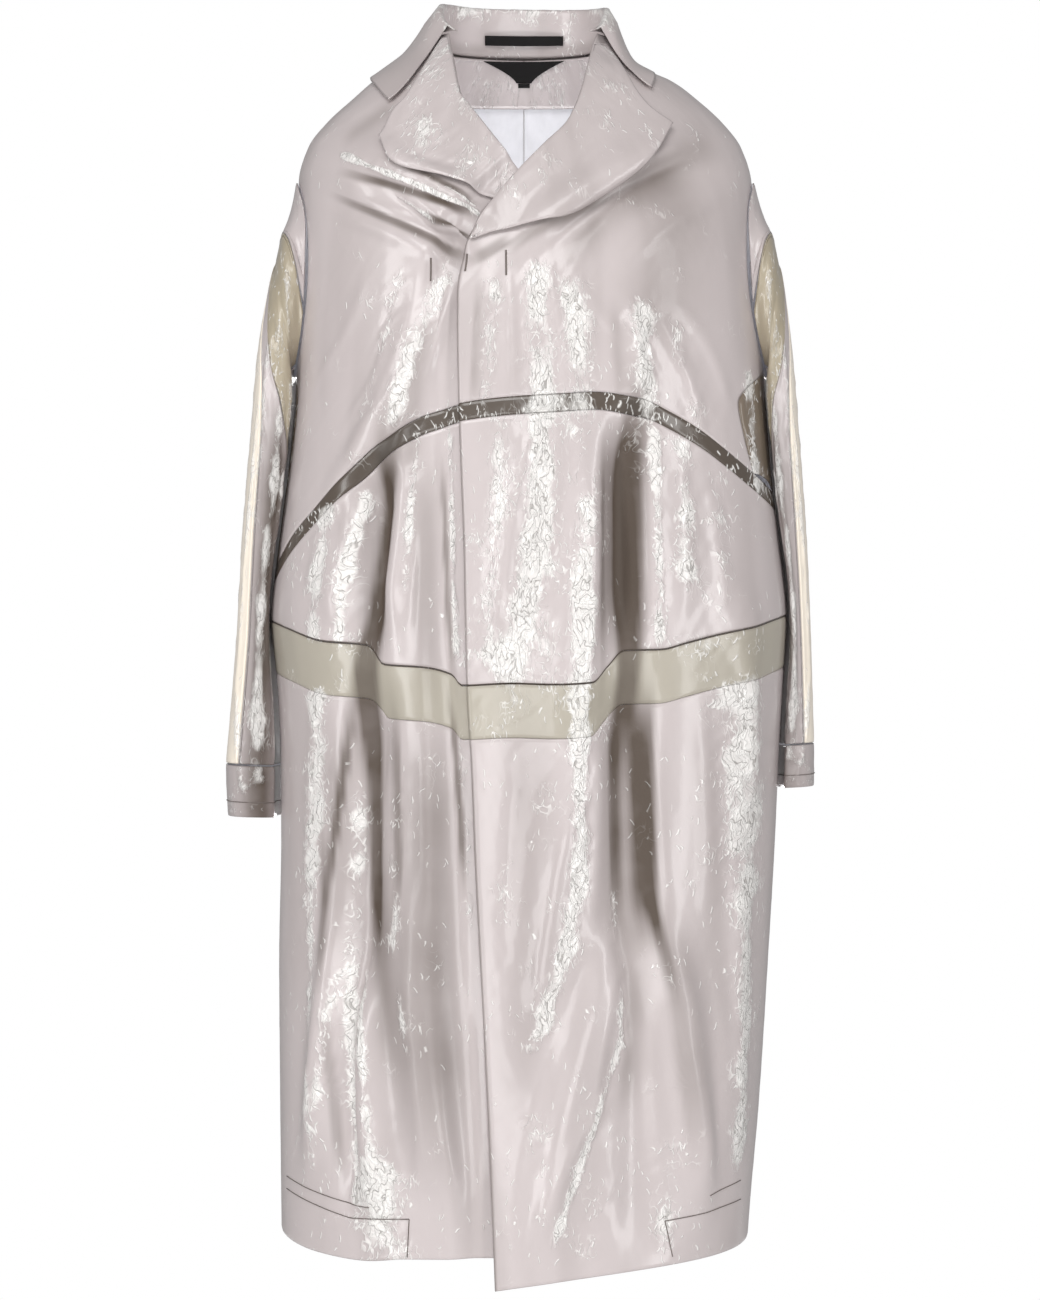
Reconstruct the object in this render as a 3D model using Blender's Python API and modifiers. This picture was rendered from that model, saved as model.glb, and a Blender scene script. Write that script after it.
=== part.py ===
"""Long raincoat with a turned-back collar and lapels, in its worn, filled-out form.

The coat is a set of thin cloth walls. Every body piece is cut from one garment surface, which is given by
horizontal sections (SECTIONS) and by soft folds (FOLDS). A piece is a grid of rows and columns between its
own seams, so neighbouring pieces meet edge to edge with a small seam gap. Lapels, facing and label follow
the same surface, moved in or out. Sleeves are rings that run from the armhole to the cuff.

Metres, +Z up. The front faces -Y and the wearer's left is +X. The origin lies between the shoulders, where
a wearer's neck and shoulders hold the coat.
"""
import math

import bmesh
import bpy
import numpy as np

MM = 0.001

# Driving sizes
CLOTH = 1.6 * MM            # wall of every cloth piece
SEAM_GAP = 0.5 * MM         # clear space between two pieces at a seam
LAP_DEPTH = 8.5 * MM        # how far the under front lies inside the over front
LAP_RUN = 30 * MM           # way in which it gets there, just before the over front's edge
LAP_EARLY = 18 * MM         # where it has got there, before the edge
LAPPED_LAPEL_DEPTH = 3.4 * MM   # how far the right lapel lies inside the over front
LAPEL_LIFT = 5.4 * MM       # lapel above the front it is turned back on
LAPEL_STAND = 5.0 * MM      # extra height of a lapel's outer edge
LAPEL_FULLEST = 0.8         # where along a lapel that is fullest: 1 is halfway, less is nearer its top
ROLL_CLEAR = 1.2 * MM       # lapel's inner edge beside its roll line
LAPEL_COLUMNS = 5
LAPEL_TIP = 4               # row of a lapel's table that is its tip, a corner
TIP_LINES, BREAK_LINES = 7, 13  # grid lines from the collar to the tip and from there to the break
FACING_DROP = 4.2 * MM      # neck facing inside the back
FACING_HALF_TURN = math.radians(62)     # how far it reaches round the neck on each side
FACING_GAP = 1.2 * MM       # neck facing below the neck seam
LABEL_DROP = 2.4 * MM       # label inside the neck facing
LABEL_HOLLOW = 1.5          # hollowness of the label's slanting sides, 1 is straight
LABEL_TOP, LABEL_BOTTOM = 38 * MM, 18 * MM          # heights of the label's edges
LABEL_HALF_TOP, LABEL_HALF_BOTTOM = 42 * MM, 8 * MM     # half widths of its edges
TAB_GAP, TAB_HEIGHT, TAB_HALF = 0.6 * MM, 4 * MM, 6 * MM    # size tab below the label
LOOP_HALF = 39 * MM         # half the hanger loop's length
LOOP_TOP, LOOP_BOTTOM = 0.45, 0.24      # its edges as shares of the collar's stand
LOOP_OFF, LOOP_SLACK = 3.2 * MM, 3 * MM     # how far it is off the stand, and its middle more
LOOP_WALL, LABEL_WALL = 1.2 * MM, 1 * MM
COLLAR_GAP = 2.0 * MM       # collar above the neck seam
COLLAR_CLEAR = 8.0 * MM     # collar's fall outside the shoulders
COLLAR_STATIONS = 12        # places along each half of the collar
STAND_SHARES = (0, 0.35, 0.7, 1)    # rows of the collar's stand
FALL_SHARES = (0.2, 0.4, 0.6, 0.8, 1)   # rows of its fall
FOLD_ROUND, FOLD_RISE = 4.5 * MM, 1.2 * MM  # the fold's roundness, out and up
FALL_OFF = 8 * MM           # how far the fall's top is off the fold line
SLEEVE_LAP = 3.8 * MM       # sleeve head outside the armhole edge
SLEEVE_CLEAR = 7.0 * MM     # hanging sleeve clear of the body's side
SLEEVE_STAND = 9.0 * MM     # how far the sleeve's front and back stand off beside the armhole
SLEEVE_HEAD = 0.10          # share of the sleeve in which it leaves the body
SLEEVE_SQUARE = 0.79        # roundness of a sleeve's section: 1 is an ellipse, less is fuller at the edges
SLEEVE_BLEND = 5 * MM       # softness of the change from the armhole to the hanging sleeve
SLEEVE_STAND_END = 0.3      # share of the sleeve in which that stand-off dies out
FRONT_SQUARE = 2.3          # squareness of a section's front half, 2 is an ellipse
BACK_SQUARE = 2.15          # squareness of its back half
SIDE_TURN = math.pi / 2     # turn of the side seams; 0 is centre front, pi is centre back
MEAN_RADIUS = 200 * MM      # radius at which a turn round the coat is measured as a length
TOP_GUESS, BOTTOM_GUESS = -100 * MM, -500 * MM  # heights at which a piece's seams are first looked for
SETTLE_ROUNDS = 12          # rounds in which they are found
OVER_COLUMNS, UNDER_COLUMNS, GUSSET_COLUMNS = 18, 20, 2     # grid columns of the fronts
BACK_COLUMNS = 11           # grid columns of each half of the back
CUFF_COLUMNS, CUFF_LINES = 18, 2
CUFF_GAP = 0.004            # gap above the cuff, as a share of the sleeve

# Horizontal sections of the coat, in millimetres: half widths to the wearer's right and left, and the
# depths in front of and behind the origin.
#            height  right   left  front   back
SECTIONS = ((48, 82, 78, 45, 62),
            (36, 100, 90, 56, 74),
            (20, 122, 106, 69, 86),
            (10, 136, 124, 77, 92),
            (0, 150, 147, 84, 98),
            (-18, 170, 171, 96, 108),
            (-38, 192, 193, 106, 117),
            (-64, 212, 213, 118, 126),
            (-97, 221, 223, 130, 134),
            (-146, 220, 226, 143, 140),
            (-210, 221, 229, 152, 145),
            (-285, 223, 235, 158, 150),
            (-370, 230, 241, 163, 156),
            (-450, 240, 250, 168, 162),
            (-527, 248, 257, 173, 168),
            (-580, 243, 254, 173, 168),
            (-650, 239, 250, 172, 166),
            (-740, 238, 246, 172, 165),
            (-860, 240, 239, 172, 165),
            (-1000, 239, 230, 173, 165),
            (-1090, 238, 222, 174, 166),
            (-1170, 237, 216, 175, 166))

# Soft folds, in millimetres on the coat's front or back: the two ends of the fold's line, how far its middle
# bows sideways, its half widths on the two sides, and its height (a trough is negative).
#        face      from x     z    to x     z   bow  side  side  height
FOLDS = (("front", -178, -70, -30, -146, -6, 13, 16, 9),
         ("front", -190, -98, -48, -172, -8, 10, 14, 8),
         ("front", -150, -108, -55, -190, -4, 12, 12, -8),
         ("front", 165, -62, -12, -180, 10, 16, 12, 7),
         ("front", 185, -95, 10, -186, 14, 15, 15, -5),
         ("front", -100, -222, -186, -410, -10, 12, 18, 7),
         ("front", -74, -212, -122, -372, -6, 11, 14, 7),
         ("front", -88, -250, -112, -560, 6, 12, 12, -6),
         ("front", 100, -225, 106, -330, 0, 10, 16, 5),
         ("front", -140, -380, -152, -560, 0, 24, 18, -22),
         ("front", -152, -560, -168, -900, -4, 22, 26, -17),
         ("front", -164, -410, -184, -530, 0, 14, 14, 8),
         ("front", -108, -375, -132, -530, 0, 14, 14, 7),
         ("front", 104, -330, 100, -560, 0, 26, 12, -24),
         ("front", 100, -555, 100, -900, 0, 30, 26, -17),
         ("front", 10, -330, -20, -560, 12, 22, 24, 8),
         ("front", 62, -400, 48, -660, 0, 16, 20, 9),
         ("front", 50, -660, 10, -950, 6, 24, 28, 9),
         ("front", 196, -480, 212, -720, -6, 22, 22, 7),
         ("front", 206, -700, 200, -1060, 4, 22, 22, 6),
         ("front", -178, -790, -204, -1060, 0, 14, 18, 10),
         ("front", -160, -820, -166, -1090, 0, 12, 12, -9),
         ("front", -152, -850, -142, -1080, 6, 14, 16, 9),
         ("front", -96, -760, -62, -1100, 16, 24, 22, 10),
         ("front", 92, -820, 10, -1140, 10, 18, 26, 11),
         ("front", 134, -820, 170, -1100, -6, 20, 16, 10),
         ("front", 112, -900, 108, -1130, 0, 26, 26, -8),
         ("back", -150, -60, -60, -230, 10, 22, 26, -7),
         ("back", 150, -60, 70, -250, -10, 22, 26, -7),
         ("back", -70, -300, -84, -640, 6, 28, 30, -11),
         ("back", 88, -280, 96, -620, -6, 30, 26, -12),
         ("back", 6, -330, 12, -700, 8, 34, 30, 8),
         ("back", -160, -560, -150, -1090, 8, 26, 32, 10),
         ("back", -64, -640, -52, -1120, -8, 28, 26, -12),
         ("back", 20, -700, 30, -1130, 10, 30, 34, 10),
         ("back", 98, -620, 118, -1110, 6, 30, 28, -12),
         ("back", 168, -540, 176, -1040, -6, 24, 28, 8))

# Vertical seams of the front, in millimetres. The over edge is the left front's edge below the lapel's
# break and its roll line above it; the under roll line is the right front's.
#              height  across
OVER_EDGE = ((48, 72), (30, 66), (13, 62), (-20, 54), (-53, 40), (-76, 18), (-99, -4), (-126, -27),
             (-145, -41), (-165, -51), (-182, -58), (-220, -63), (-260, -63), (-320, -62), (-380, -60),
             (-458, -57), (-597, -54), (-663, -50), (-760, -46), (-933, -37), (-1040, -32), (-1170, -27))
UNDER_EDGE = ((48, -74), (16, -68), (-24, -60), (-37, -51), (-68, -28), (-99, -4), (-130, 18), (-170, 30),
              (-220, 34), (-1170, 66))
#              height  across, the gusset's front seam
RIGHT_GUSSET = 0.45         # width of the right gusset as a share of the left one
GUSSET_EDGE = ((-284, 236), (-320, 206), (-348, 211), (-375, 218), (-420, 233))

# Cross seams of the fronts, in millimetres.
#             across  height
ARCH_TOP = ((-245, -480), (-237, -466), (-223, -445), (-203, -423), (-180, -400), (-159, -381),
            (-137, -362), (-116, -348), (-95, -335), (-78, -329), (-61, -324), (-13, -318), (34, -315),
            (66, -313), (110, -319), (140, -332), (167, -347), (195, -367), (223, -388), (245, -404))
WAIST = ((-252, -526), (-227, -536), (-193, -548), (-156, -552), (-146, -560), (-136, -570), (-94, -573),
         (-69, -580), (-60, -590), (-11, -588), (27, -589), (62, -587), (80, -572), (100, -557),
         (130, -556), (153, -550), (199, -538), (226, -532), (258, -522))
ARCH_WIDTH = 17 * MM
BAND_WIDTH = 51 * MM
#             across  height, the hems of the over front and of the under front
OVER_HEM = ((-40, -1160), (-28, -1158), (66, -1145), (137, -1138), (203, -1132), (225, -1128))
UNDER_HEM = ((-245, -1120), (-222, -1127), (-198, -1131), (-152, -1134), (-111, -1130), (70, -1126))
BACK_WAIST = -524 * MM
BACK_HEM = -1128 * MM
NECK_FACING_HEM = -7 * MM

# The neck seam on the garment surface, in degrees of turn and millimetres of height.
NECK_SEAM = ((55, 44), (75, 47), (90, 47), (110, 43), (130, 37), (180, 36))

# Armhole: an upright oval on the coat's side.
ARMHOLE_MIDDLE = -191 * MM
ARMHOLE_HALF_HEIGHT = 93 * MM
ARMHOLE_HALF_DEPTH = 60 * MM

# Sleeve rings, in millimetres: the ring's outer and inner points seen from the front, the middle of its depth
# and its half depth.
#                outer x   z   inner x    z  middle  half depth
SLEEVE_LEFT = ((224, -97, 236, -288, 0, 60),
               (249, -170, 231, -300, 6, 60),
               (263, -258, 222, -318, 12, 62),
               (271, -347, 216, -372, 20, 64),
               (279, -446, 220, -456, 28, 64),
               (284, -547, 227, -552, 36, 62),
               (287, -648, 231, -650, 40, 61),
               (287, -690, 232, -692, 41, 60))
SLEEVE_RIGHT = ((222, -97, 224, -288, 0, 60),
                (243, -170, 220, -300, 5, 60),
                (261, -258, 214, -318, 9, 62),
                (269, -347, 211, -374, 14, 63),
                (278, -446, 215, -456, 20, 64),
                (284, -552, 220, -558, 24, 62),
                (294, -668, 227, -670, 26, 61),
                (292, -719, 230, -720, 26, 59))
SLEEVE_GAP = 2.0            # half the clear space at a sleeve's seams, in degrees round the ring
SLEEVE_HEAD_GAP = 1.8       # what is added to it at the armhole, where the seams run aslant
CAP_END = 236               # rear end of the cap, in degrees round the ring
INNER_SEAM = 28             # sleeve's inner front seam, degrees round the ring; 90 faces front

# Seams along a sleeve, in degrees round the ring: where the khaki insert ends, where the outer strip starts
# and where the back sleeve starts. The sleeve runs from the armhole, 0, to the end of the cuff, 1.
#                along  insert  strip  back
SLEEVE_SEAMS = ((0.0, 76, 76, 76),
                (0.045, 108, 108, 108),
                (0.08, 141, 141, 141),
                (0.11, 168, 168, 168),
                (0.137, 189, 189, 194),
                (0.165, 157, 163, 194),
                (0.20, 142, 157, 194),
                (0.25, 120, 144, 194),
                (0.295, 102, 132, 194),
                (0.345, 86, 122, 194),
                (0.42, 68, 118, 194),
                (0.49, 48, 117, 194),
                (0.56, 33, 117, 194),
                (0.635, 28, 117, 194),
                (0.71, 28, 117, 194),
                (0.785, 28, 117, 194),
                (0.855, 28, 117, 194))
STRIP_ROW, FRONT_ROW, INSERT_ROWS = 4, 5, 13    # rows where strip and front start, and rows of the insert

# Collar, each half of it from the centre back to the front end, in millimetres: the neck seam's turn in
# degrees, the fold line at the top, a point halfway down the fall, and the free edge. The left half stands
# closer to the neck.
#                 turn   fold x    y    z  middle x   y    z   edge x    y    z
COLLAR_RIGHT = ((180, 0, 64, 84, 0, 94, 47, 0, 112, 4),
                (157, 30, 61, 84, 38, 90, 47, 46, 108, 3),
                (132, 59, 48, 84, 80, 70, 46, 98, 90, 3),
                (108, 76, 22, 82, 104, 36, 42, 128, 50, 7),
                (88, 80, -4, 75, 110, -2, 38, 138, 4, 8),
                (72, 79, -20, 64, 109, -38, 22, 138, -46, -5),
                (62, 74, -30, 53, 103, -70, 1, 129, -84, -27))
COLLAR_LEFT = ((180, 0, 64, 84, 0, 94, 47, 0, 112, 4),
               (157, 30, 61, 83, 37, 89, 47, 44, 106, 4),
               (132, 58, 48, 81, 73, 68, 46, 86, 86, 7),
               (108, 75, 22, 78, 94, 32, 44, 107, 44, 11),
               (88, 79, -4, 73, 99, -4, 41, 113, 2, 13),
               (72, 77, -20, 62, 98, -36, 30, 114, -40, 10),
               (62, 74, -30, 51, 94, -60, 16, 112, -72, 2))

# Lapels' outer edges from the collar to the break, in millimetres.
LAPEL_RIGHT = ((-78, 36), (-94, 3), (-111, -30), (-124, -44), (-132, -66), (-119, -91), (-70, -109),
               (-27, -124), (8, -134))
LAPEL_LEFT = ((78, 30), (93, 2), (106, -24), (118, -40), (138, -57), (119, -83), (75, -119),
              (33, -145), (3, -156), (-32, -163), (-46, -168))

# Colours, roughness and metallic value of each cloth
FINISHES = {
    "film_cloth": ((0.61, 0.555, 0.56), 0.28),
    "band_cloth": ((0.56, 0.53, 0.47), 0.3),
    "tape": ((0.16, 0.13, 0.105), 0.3),
    "khaki_cloth": ((0.46, 0.39, 0.29), 0.3),
    "cream_film": ((0.80, 0.73, 0.64), 0.35),
    "black_trim": ((0.012, 0.011, 0.011), 0.8),
}


def rows(table):
    """A table as an array in metres, sorted by its first column."""
    values = np.array(sorted(table), dtype=float)
    return values * MM


def smooth(at, knots, values):
    """Smooth monotone curve through the knots, held level beyond its ends."""
    at = np.clip(at, knots[0], knots[-1])
    steps = np.diff(knots)
    rises = np.diff(values) / steps
    slopes = np.concatenate(([rises[0]], np.zeros(len(knots) - 2), [rises[-1]]))
    same_way = rises[:-1] * rises[1:] > 0
    blended = 2 * rises[:-1] * rises[1:] / np.where(same_way, rises[:-1] + rises[1:], 1)
    slopes[1:-1] = np.where(same_way, blended, 0)
    i = np.clip(np.searchsorted(knots, at, side="right") - 1, 0, len(steps) - 1)
    t = (at - knots[i]) / steps[i]
    start = values[i] * (1 + 2 * t) * (1 - t) ** 2 + values[i + 1] * t * t * (3 - 2 * t)
    return start + steps[i] * (slopes[i] * t * (1 - t) ** 2 + slopes[i + 1] * t * t * (t - 1))


def ease(t):
    """Soft step from 0 to 1."""
    t = np.clip(t, 0, 1)
    return t * t * (3 - 2 * t)


SECTION_ROWS = rows(SECTIONS)


def plain_radius(turn, height):
    """Distance from the coat's axis to the plain, unfolded section at a turn and height."""
    heights, right, left, front, back = SECTION_ROWS.T
    side = np.where(np.sin(turn) > 0, smooth(height, heights, left), smooth(height, heights, right))
    facing = np.cos(turn) > 0
    depth = np.where(facing, smooth(height, heights, front), smooth(height, heights, back))
    power = np.where(facing, FRONT_SQUARE, BACK_SQUARE)
    total = (np.abs(np.sin(turn)) / side) ** power + (np.abs(np.cos(turn)) / depth) ** power
    return total ** (-1 / power)


def turn_at(across, height, face="front"):
    """Turn of the point of the plain surface that lies at a distance across the front or back."""
    heights, right, left, front, back = SECTION_ROWS.T
    side = np.where(np.asarray(across) > 0, smooth(height, heights, left), smooth(height, heights, right))
    depth, power = (front, FRONT_SQUARE) if face == "front" else (back, BACK_SQUARE)
    share = np.clip(np.abs(across) / side, 0, 0.9999)
    deep = smooth(height, heights, depth) * (1 - share ** power) ** (1 / power)
    return np.arctan2(across, deep if face == "front" else -deep)


def fold_heights(turn, height):
    """Sum of the soft folds at a turn and height, measured on the coat laid flat."""
    total = np.zeros(np.broadcast(turn, height).shape)
    for face, x0, z0, x1, z1, bow, side_a, side_b, rise in FOLDS:
        ends = [(float(turn_at(x * MM, z * MM, face)), z * MM) for x, z in ((x0, z0), (x1, z1))]
        middle = math.pi if face == "back" else 0.0
        a = np.mod(turn - middle + math.pi, 2 * math.pi) - math.pi
        a0, a1 = [math.remainder(t - middle, 2 * math.pi) * MEAN_RADIUS for t, _ in ends]
        run, drop = a1 - a0, ends[1][1] - ends[0][1]
        length = math.hypot(run, drop)
        along = ((a * MEAN_RADIUS - a0) * run + (height - ends[0][1]) * drop) / length ** 2
        off = ((a * MEAN_RADIUS - a0) * drop - (height - ends[0][1]) * run) / length
        off = off - bow * MM * 4 * along * (1 - along)
        width = np.where(off > 0, side_a, side_b) * MM
        fade = ease((along + 0.12) / 0.4) * ease((1.12 - along) / 0.4)
        total = total + rise * MM * fade * np.exp(-(off / width) ** 2)
    return total


def coat_point(turn, height):
    """A point of the folded garment surface."""
    turn, height = np.broadcast_arrays(turn, height)
    radius = plain_radius(turn, height) + fold_heights(turn, height)
    return np.stack((radius * np.sin(turn), -radius * np.cos(turn), height), axis=-1)


def lifted_point(turn, height, lift):
    """A point of the surface moved out along its normal by lift; a negative lift moves it in."""
    step = 0.5 * MM
    angle = step / MEAN_RADIUS
    point = coat_point(turn, height)
    around = coat_point(turn + angle, height) - coat_point(turn - angle, height)
    upward = coat_point(turn, height + step) - coat_point(turn, height - step)
    normal = np.cross(around, upward)
    normal = normal / np.linalg.norm(normal, axis=-1, keepdims=True)
    return point + normal * np.asarray(lift)[..., None]


def edge_turn(table, height):
    """Turn of a vertical seam that is given by its distance across the front."""
    heights, across = rows(table).T
    return turn_at(smooth(height, heights, across), height)


def seam_height(table, turn, height):
    """Height of a cross seam at a turn; the height given is a first guess."""
    knots, heights = rows(table).T
    for _ in range(6):
        across = plain_radius(turn, height) * np.sin(turn)
        height = smooth(across, knots, heights)
    return height


def armhole_half_depth(height):
    """Half the armhole's width at a height, zero above and below it."""
    share = (height - ARMHOLE_MIDDLE) / ARMHOLE_HALF_HEIGHT
    return ARMHOLE_HALF_DEPTH * np.sqrt(np.clip(1 - share * share, 0, 1))


def side_seam_turn(height, side, face):
    """Turn of a front's or back's side edge: shoulder seam, armhole edge and side seam from top to bottom."""
    half = armhole_half_depth(height)
    radius = plain_radius(SIDE_TURN * side, height)
    offset = np.arctan2(half + SEAM_GAP / 2, radius)
    return side * (SIDE_TURN - offset if face == "front" else SIDE_TURN + offset)


def front_side_turn(height, side):
    """Side edge of a yoke: the armhole edge and, below it, the gusset's front seam."""
    edge = side_seam_turn(height, side, "front")
    heights, across = rows(GUSSET_EDGE).T
    gusset = side * np.abs(turn_at(smooth(height, heights, across), height))
    if side < 0:
        gusset = -(SIDE_TURN - (SIDE_TURN - np.abs(gusset)) * RIGHT_GUSSET)
    below = height < GUSSET_EDGE[0][0] * MM
    return np.where(below, gusset - side * SEAM_GAP / MEAN_RADIUS, edge)


def shared_out(edges, counts):
    """Columns between edges: one value of each edge for each line, and the columns from each to the next."""
    starts = np.concatenate(([0], np.cumsum(counts)))
    column = np.arange(starts[-1] + 1)
    return np.stack([np.interp(column, starts, line) for line in np.transpose(edges)], axis=-1)


def stack_grid(edges, counts, top, bottom, lines, crowding=1.0):
    """Turns and heights of a piece's grid.

    edges give the piece's side edges, and any column line between them, as a turn at a height; counts are
    the columns from each to the next. top and bottom give the cross seams as a height at a turn. Lines
    share out the way down, and a crowding above 1 sets them closer together near the top.
    """
    starts = np.concatenate(([0], np.cumsum(counts)))
    t = np.linspace(0, 1, lines + 1)[None, :] ** crowding

    def turns(height):
        """Turns of a grid of heights, from the turn of each edge at its own height."""
        return shared_out([edge(height[start]) for edge, start in zip(edges, starts)], counts)

    def settled(seam, guess):
        height = np.full((starts[-1] + 1, 1), guess)
        for _ in range(SETTLE_ROUNDS):
            height = seam(turns(height), height)
        return height

    height = settled(top, TOP_GUESS) * (1 - t) + settled(bottom, BOTTOM_GUESS) * t
    return turns(height), height


def lap_share(turn, height):
    """How far a point of the right front has passed under the over front, from 0 to 1."""
    past_edge = (turn - edge_turn(OVER_EDGE, height)) * MEAN_RADIUS
    return ease((past_edge + LAP_EARLY) / LAP_RUN + 1)


def lap_lift(turn, height):
    """How far inside the over front the right front lies: nothing at its side, the full depth at the lap."""
    return -LAP_DEPTH * lap_share(turn, height)


def cloth_mesh(name, points, closed=False):
    """A mesh of a grid of points; a closed grid joins its last column to its first."""
    columns, lines = points.shape[0] - 1, points.shape[1] - 1
    grid = bmesh.new()
    bmesh.ops.create_grid(grid, x_segments=columns, y_segments=lines, size=0.5)
    for vertex in grid.verts:
        column = round((vertex.co.x + 0.5) * columns)
        line = round((vertex.co.y + 0.5) * lines)
        vertex.co = points[column, line]
    if closed:
        bmesh.ops.remove_doubles(grid, verts=grid.verts, dist=0.01 * MM)
    mesh = bpy.data.meshes.new(name)
    grid.to_mesh(mesh)
    grid.free()
    return mesh


def cloth_piece(name, points, finish, wall=CLOTH, closed=False):
    """A piece of cloth: the grid's surface with a wall of its own thickness."""
    mesh = cloth_mesh(name, points, closed)
    mesh.shade_smooth()
    piece = bpy.data.objects.new(name, mesh)
    COAT.objects.link(piece)
    shell = piece.modifiers.new("wall", "SOLIDIFY")
    shell.thickness = wall
    shell.offset = 0
    mesh.materials.append(material(finish))
    return piece


def material(name):
    """The Principled material of a finish, made once."""
    if name in bpy.data.materials:
        return bpy.data.materials[name]
    colour, roughness = FINISHES[name]
    made = bpy.data.materials.new(name)
    made.use_nodes = True
    shader = made.node_tree.nodes["Principled BSDF"]
    shader.inputs["Base Color"].default_value = (*colour, 1)
    shader.inputs["Roughness"].default_value = roughness
    shader.inputs["Metallic"].default_value = 0
    made.diffuse_color = (*colour, 1)
    return made


def level(height):
    """A cross seam at one height."""
    return lambda turn, guess: np.full_like(guess, height)


def shifted(seam, drop):
    """A cross seam moved down by drop."""
    return lambda turn, guess: seam(turn, guess) - drop


def table_seam(table):
    return lambda turn, guess: seam_height(table, turn, guess)


def neck_seam(turn, guess):
    """Height of the neck seam at a turn."""
    away = 180 - np.abs(np.degrees(math.pi - np.mod(turn, 2 * math.pi)))
    turns, heights = np.array(NECK_SEAM, dtype=float).T
    return smooth(away, turns, heights * MM)


def build_front(side, word):
    """The five pieces of one front and its gusset, from the shoulder to the hem."""
    over = side > 0
    edge = OVER_EDGE if over else UNDER_EDGE
    half_gap = SEAM_GAP / 2

    def inner(height):
        return edge_turn(edge, height)

    def outer(height):
        return side_seam_turn(height, side, "front")

    def yoke_outer(height):
        return front_side_turn(height, side)

    def lift(turn, height):
        return np.zeros_like(turn) if over else lap_lift(turn, height)

    arch = table_seam(ARCH_TOP)
    waist = table_seam(WAIST)
    hem = table_seam(OVER_HEM if over else UNDER_HEM)
    whole = (inner, yoke_outer, outer)
    tiers = (
        (f"yoke_{word}", (inner, yoke_outer), shifted(neck_seam, half_gap), shifted(arch, -half_gap),
         14 if over else 18, "film_cloth"),
        (f"arch_tape_{word}", whole, shifted(arch, half_gap), shifted(arch, ARCH_WIDTH - half_gap), 1,
         "tape"),
        (f"tier_{word}", whole, shifted(arch, ARCH_WIDTH + half_gap), shifted(waist, -half_gap), 7,
         "film_cloth"),
        (f"waist_band_{word}", whole, shifted(waist, half_gap), shifted(waist, BAND_WIDTH - half_gap), 2,
         "band_cloth"),
        (f"skirt_{word}", whole, shifted(waist, BAND_WIDTH + half_gap), hem, 10, "film_cloth"),
    )
    columns = OVER_COLUMNS if over else UNDER_COLUMNS
    for name, edges, top, bottom, lines, finish in tiers:
        counts = (columns,) if len(edges) == 2 else (columns, GUSSET_COLUMNS)
        turn, height = stack_grid(edges, counts, top, bottom, lines)
        cloth_piece(name, lifted_point(turn, height, lift(turn, height)), finish)
        if name.startswith("yoke"):
            build_gusset(side, word, turn[-1], height[-1], arch)


def build_gusset(side, word, seam_turn, seam_height_line, arch):
    """An underarm gusset: from its seam on the yoke to the side seam, and down to the arched tape."""
    below = seam_height_line < GUSSET_EDGE[0][0] * MM
    start_turn = seam_turn[below] + side * SEAM_GAP / MEAN_RADIUS
    start_height = seam_height_line[below]
    down = (start_height[0] - start_height) / (start_height[0] - start_height[-1])
    s = np.linspace(0, 1, GUSSET_COLUMNS + 1)[:, None]
    height = start_height[None, :] + 0 * s
    for _ in range(SETTLE_ROUNDS):
        turn = start_turn[None, :] * (1 - s) + side_seam_turn(height, side, "front") * s
        end = arch(turn, height) + SEAM_GAP / 2
        height = start_height[None, :] + (end - start_height[-1]) * down[None, :] * s
    lift = np.zeros_like(turn)
    cloth_piece(f"gusset_{word}", lifted_point(turn, height, lift), "tape")


def build_back(side, word):
    """One half of the back: upper back, waist band and skirt."""
    half_gap = SEAM_GAP / 2

    def centre(height):
        return side * (math.pi - half_gap / plain_radius(math.pi, height))

    def outer(height):
        return side_seam_turn(height, side, "back")

    waist = level(BACK_WAIST)
    neck = shifted(neck_seam, half_gap)
    tiers = (
        (f"back_{word}", neck, shifted(waist, -half_gap), 14, "film_cloth"),
        (f"back_band_{word}", shifted(waist, half_gap), shifted(waist, BAND_WIDTH - half_gap), 2,
         "band_cloth"),
        (f"back_skirt_{word}", shifted(waist, BAND_WIDTH + half_gap), level(BACK_HEM), 10, "film_cloth"),
    )
    for name, top, bottom, lines, finish in tiers:
        crowding = 1.4 if top is neck else 1.0
        turn, height = stack_grid((outer, centre), (BACK_COLUMNS,), top, bottom, lines, crowding)
        cloth_piece(name, lifted_point(turn, height, np.zeros_like(turn)), finish)


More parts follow.
